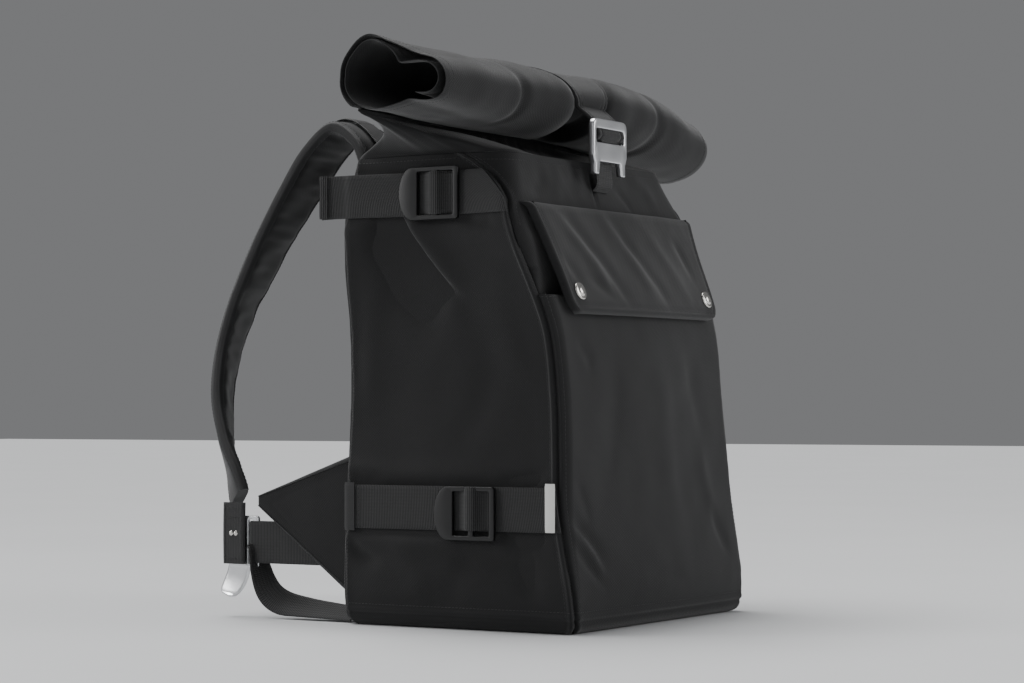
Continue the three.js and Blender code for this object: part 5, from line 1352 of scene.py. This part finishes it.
# -------------------------------------------------------------------------------------------- wings
# A triangle of doubled cloth is sewn along each rear corner, its edges bound. Webbing from under it loops
# round the bar of the strap's hook, and its loose end drops to the floor and runs back to the corner.
WING_LONG, WING_TALL, WING_FOOT, WING_THICK, WING_TIP, WING_X = 0.103, 0.121, 0.026, 0.003, 0.008, 0.143
WING_WEB_Z, WING_WEB_ROOT, TAIL_WIDE = 0.0685, 0.03, 0.025
# behind (share of the wing's length), height (share of the web's), lean (share of a quarter turn), width
TAIL_STATIONS = [(1.06, 0.98, 0.08, 0.8), (1.03, 0.64, 0.2, 0.8), (0.94, 0.35, 0.25, 0.95), (0.8, 0.21, 0.4, 1),
                 (0.58, 0.16, 0.56, 1), (0.32, 0.13, 0.66, 1), (0.012, 0.1, 0.72, 1)]
PLATE_X, HOOK_THIN = 0.1357, 0.003
BAR_EDGE = BACK + WING_LONG + 0.007 + 0.0032


def back_at(z, x):
    """Where the back stands at a height and a place across it."""
    o = outline(z)
    over = max(abs(x) - (o.half - o.turn), 0) / o.turn
    return o.back - o.turn * float(rounded(min(over, 1)))


for side, sign in (("left", -1), ("right", 1)):
    u, w = np.meshgrid(*(spread(size, 0.004, 0.004, 0.0028, 0.0009) for size in (WING_LONG, WING_TALL)),
                       indexing="ij")
    foot_z = WING_FOOT + w * WING_TALL
    z = foot_z + (WING_FOOT + WING_TALL * 0.63 + w * WING_TIP - foot_z) * u
    root = np.array([max(back_at(level, WING_X), back_at(level, WING_X - WING_THICK)) + 0.0005
                     for level in z.ravel()])
    y = root.reshape(z.shape) + (BACK + WING_LONG - root.reshape(z.shape)) * u
    wing = np.stack([np.full(z.shape, sign * (WING_X - WING_THICK / 2)), y, z], axis=2)
    flat = np.stack([y - BACK, z], axis=2)
    away = np.minimum(np.minimum(w, 1 - w) * np.maximum(WING_TALL * (1 - u), 0.008), (1 - u) * WING_LONG) * 1000
    face = WING_THICK / 2 - 0.0009 * rounded(np.clip(1 - away / 3, 0, 1))
    face = face - 0.0003 * np.exp(-np.square((away - 9) / 1.2))
    bend = 0.0016 * ripple(flat, 0.05, 101) * np.sin(np.pi * np.clip(u, 0, 1))
    outer = wing + np.array([sign, 0, 0]) * (face + bend)[..., None]
    inner = wing - np.array([sign, 0, 0]) * (face - bend)[..., None]
    wing_piece = cloth_piece(f"wing_cloth_{side}", outer, inner, flat, pack_cloth)
    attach(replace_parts(wing_piece, f"wing_{side}"), "root")
    for edge, faces in (("top", (outer, inner)), ("foot", (outer[:, ::-1], inner[:, ::-1]))):
        tape = edge_tape(f"wing_edge_{edge}_{side}", *faces, 5, 0.0007, binding_tape)
        sew(*(face[3:-3, -4] + [way * sign * 0.0008, 0, 0] for face, way in zip(faces, (1, -1))))
        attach(tape, "root")

    r = HOOK_THIN / 2 + 0.0014
    turn_at = [(BAR_EDGE + r * math.cos(a), r * math.sin(a)) for a in np.linspace(-math.pi / 2, math.pi / 2, 9)]
    web_root = BACK + WING_WEB_ROOT
    loop = [(web_root, -r), ((web_root + BAR_EDGE) / 2, -r - 0.0002), (BAR_EDGE - 0.008, -r)]
    loop += turn_at + [(BAR_EDGE - 0.01, r), (BAR_EDGE - 0.023, r)]
    loop_path = smooth_path([(sign * (PLATE_X - off), at, WING_WEB_Z) for at, off in loop], 0.0016)
    wing_loop = strip(f"wing_webbing_{side}", loop_path, (0, 0, 1), WEB_WIDTH, WEB_THICK, strap_webbing)
    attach(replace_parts(wing_loop, f"wing_web_{side}"), "root")

    read_tail = smooth_table([(i, *station) for i, station in enumerate(TAIL_STATIONS)])
    behind, height, lean, wide = read_tail(np.linspace(0, len(TAIL_STATIONS) - 1, 100))
    tail_path = np.column_stack([sign * (PLATE_X - lean * TAIL_WIDE / 4), BACK + behind * WING_LONG,
                                 height * WING_WEB_Z])
    across = np.column_stack([-sign * np.sin(lean * np.pi / 2), 0 * lean, np.cos(lean * np.pi / 2)])
    loose = strip(f"tail_webbing_{side}", tail_path, across, wide * TAIL_WIDE, WEB_THICK, strap_webbing)
    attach(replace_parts(loose, f"tail_web_{side}"), "root")


# -------------------------------------------------------------------------------------- strap hooks
# Bright cast hooks: an upright frame with a slot for the wing's webbing, a plate behind the strap's tab, and
# below it a broad tongue, bent outwards to a round tip. Two small rivets fasten the tab.
HOOK_FRAME, HOOK_RAIL_THIN, HOOK_LONG = WEB_WIDTH / 2 + 0.0016, 0.003, 0.034
BAR_START = BAR_EDGE - 0.007 + 0.0004
SLOT_END, PLATE_END = BAR_EDGE + 0.0052, BAR_START + HOOK_LONG
foot_z, head_z = WING_WEB_Z - HOOK_FRAME - HOOK_RAIL_THIN, WING_WEB_Z + HOOK_FRAME + HOOK_RAIL_THIN
frame_outline = rounded_corners([(BAR_START, foot_z, 0.003), (PLATE_END, foot_z, 0.001),
                                 (PLATE_END, head_z, 0.004), (BAR_START, head_z, 0.003)])
frame_slot = rounded_corners([(BAR_EDGE, foot_z + 0.003, 0.001), (SLOT_END, foot_z + 0.003, 0.001),
                              (SLOT_END, head_z - 0.003, 0.001), (BAR_EDGE, head_z - 0.003, 0.001)])
# down the tongue: outwards from the plate, shift along Y, height, width: millimetres
TONGUE = [(0, 22, 50, 24), (0, 23, 44, 24.5), (0.4, 25, 37, 24.5), (1.4, 28, 30.5, 24), (2.8, 31, 25.5, 22.5),
          (4.6, 33.2, 22, 19.5), (6.2, 34.2, 20.4, 13)]
TAB_WIDE, TAB_LONG, TAB_X = 0.025, 0.056, PLATE_X + 0.0034
tab_y, tab_top = (SLOT_END + 0.003 + PLATE_END) / 2 + 0.0016, 0.262 * SHOULDER - STRAP_THICK / 4
RIVET_PROFILE = [(0, 0.42), (0.35, 0.38), (0.68, 0.25), (0.9, 0.08), (1, -0.02), (0.96, -0.12), (0, -0.12)]

for side, sign in (("left", -1), ("right", 1)):
    stand = Matrix.Translation((sign * PLATE_X, 0, 0)) @ FACING_SIDE
    body = plate(f"strap_hook_frame_{side}", [frame_outline, frame_slot], HOOK_THIN, 0.0008, stand,
                 satin_aluminium)
    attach(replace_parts(body, f"strap_hook_{side}"), "root")
    path = smooth_path([(sign * (PLATE_X + out / 1000), BAR_START + y / 1000, z / 1000, wide / 1000)
                        for out, y, z, wide in TONGUE], 0.001)
    tongue = strip(f"strap_hook_tongue_{side}", path[:, :3], (0, 1, 0), path[:, 3], HOOK_THIN, satin_aluminium,
                   edge=0.0014)
    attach(tongue, "root")
    fall = np.linspace(0, 1, 34)
    tab_path = np.column_stack([sign * (TAB_X + 0.0006 * np.sin(fall * 3)), np.full(len(fall), tab_y),
                                tab_top - fall * TAB_LONG])
    tab = strip(f"strap_tab_cloth_{side}", tab_path, (0, 1, 0), TAB_WIDE, 0.003, binding_tape, edge=0.0012)
    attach(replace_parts(tab, f"strap_tab_{side}"), "root")
    for shift in (-0.0095, 0.0095):
        sew(tab_path[2:-2] + [sign * 0.0016, shift, 0])
    for row in (3, 8, -4):
        sew([tab_path[row] + [sign * 0.0016, shift, 0] for shift in (-0.0095, 0, 0.0095)])
    for k, shift in enumerate((-0.0026, 0.0026)):
        seat = Matrix.Translation((sign * (TAB_X + 0.0021), tab_y + shift, tab_top - TAB_LONG / 2)) @ \
            Matrix.Rotation(sign * math.pi / 2, 4, "Y")
        rivet = turned(f"strap_rivet_{k}_{side}", RIVET_PROFILE, 0.0024, 24, seat, nickel_plate)
        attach(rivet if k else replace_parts(rivet, f"strap_rivet_{side}"), "root")


# ---------------------------------------------------------------------------------------- stitching
# Lockstitch in bonded black thread, about 0.7 mm thick and 3.6 mm a stitch, whose ends dip into the cloth.
# Geometry nodes lay one long bead on each step of the kept lines.
STITCH_STEP, STITCH_LONG, THREAD_RADIUS = 0.0036, 0.0029, 0.00034
# Bonded polyester thread: a dark grey that stands out a little from the black cloth, with a soft shine.
bonded_thread = moulded("bonded_polyester_thread", "2B2B2C", 0.5)

nodes = bpy.data.node_groups.new("stitches_along_lines", "GeometryNodeTree")
for label, kind in (("Lines", "NodeSocketGeometry"), ("Step", "NodeSocketFloat"), ("Stitch", "NodeSocketFloat"),
                    ("Thread radius", "NodeSocketFloat"), ("Thread", "NodeSocketMaterial")):
    nodes.interface.new_socket(label, in_out="INPUT", socket_type=kind)
nodes.interface.new_socket("Stitches", in_out="OUTPUT", socket_type="NodeSocketGeometry")
given = add(nodes, "NodeGroupInput").outputs
curves = add(nodes, "GeometryNodeMeshToCurve", {"Mesh": given["Lines"]}).outputs["Curve"]
steps = add(nodes, "GeometryNodeResampleCurve", {"Curve": curves, "Length": given["Step"]},
            mode="LENGTH").outputs["Curve"]
bead = add(nodes, "GeometryNodeMeshUVSphere", {"Segments": 6, "Rings": 4, "Radius": 1.0}).outputs["Mesh"]
half_stitch = add(nodes, "ShaderNodeMath", {0: given["Stitch"], 1: 0.5}, operation="MULTIPLY").outputs[0]
thread = given["Thread radius"]
sizes = add(nodes, "ShaderNodeCombineXYZ", {"X": thread, "Y": thread, "Z": half_stitch})
tangent = add(nodes, "GeometryNodeInputTangent").outputs["Tangent"]
along_line = add(nodes, "FunctionNodeAlignRotationToVector", {"Vector": tangent}, axis="Z").outputs["Rotation"]
laid = add(nodes, "GeometryNodeInstanceOnPoints", {"Points": steps, "Instance": bead, "Rotation": along_line,
                                                   "Scale": sizes.outputs["Vector"]}).outputs["Instances"]
real = add(nodes, "GeometryNodeRealizeInstances", {"Geometry": laid}).outputs["Geometry"]
smooth = add(nodes, "GeometryNodeSetShadeSmooth", {"Geometry": real}).outputs["Geometry"]
done = add(nodes, "GeometryNodeSetMaterial", {"Geometry": smooth, "Material": given["Thread"]})
add(nodes, "NodeGroupOutput", {"Stitches": done.outputs["Geometry"]})

points, edges = [], []
for line in stitch_lines:
    edges += [(len(points) + i, len(points) + i + 1) for i in range(len(line) - 1)]
    points += line.tolist()
guide_mesh = bpy.data.meshes.new("stitch_guides")
guide_mesh.from_pydata(points, edges, [])
guides = bpy.data.objects.new("stitch_guides", guide_mesh)
bpy.context.scene.collection.objects.link(guides)
sewing = guides.modifiers.new("stitches", "NODES")
sewing.node_group = nodes
inputs = {item.name: item.identifier for item in nodes.interface.items_tree if item.in_out == "INPUT"}
for label, value in (("Step", STITCH_STEP), ("Stitch", STITCH_LONG), ("Thread radius", THREAD_RADIUS),
                     ("Thread", bonded_thread)):
    sewing[inputs[label]] = value
guides.update_tag()
stitch_mesh = bpy.data.meshes.new_from_object(guides.evaluated_get(bpy.context.evaluated_depsgraph_get()))
bpy.data.objects.remove(guides)
stitching = bpy.data.objects.new("stitching_thread", stitch_mesh)
bpy.context.scene.collection.objects.link(stitching)
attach(stitching, "root")
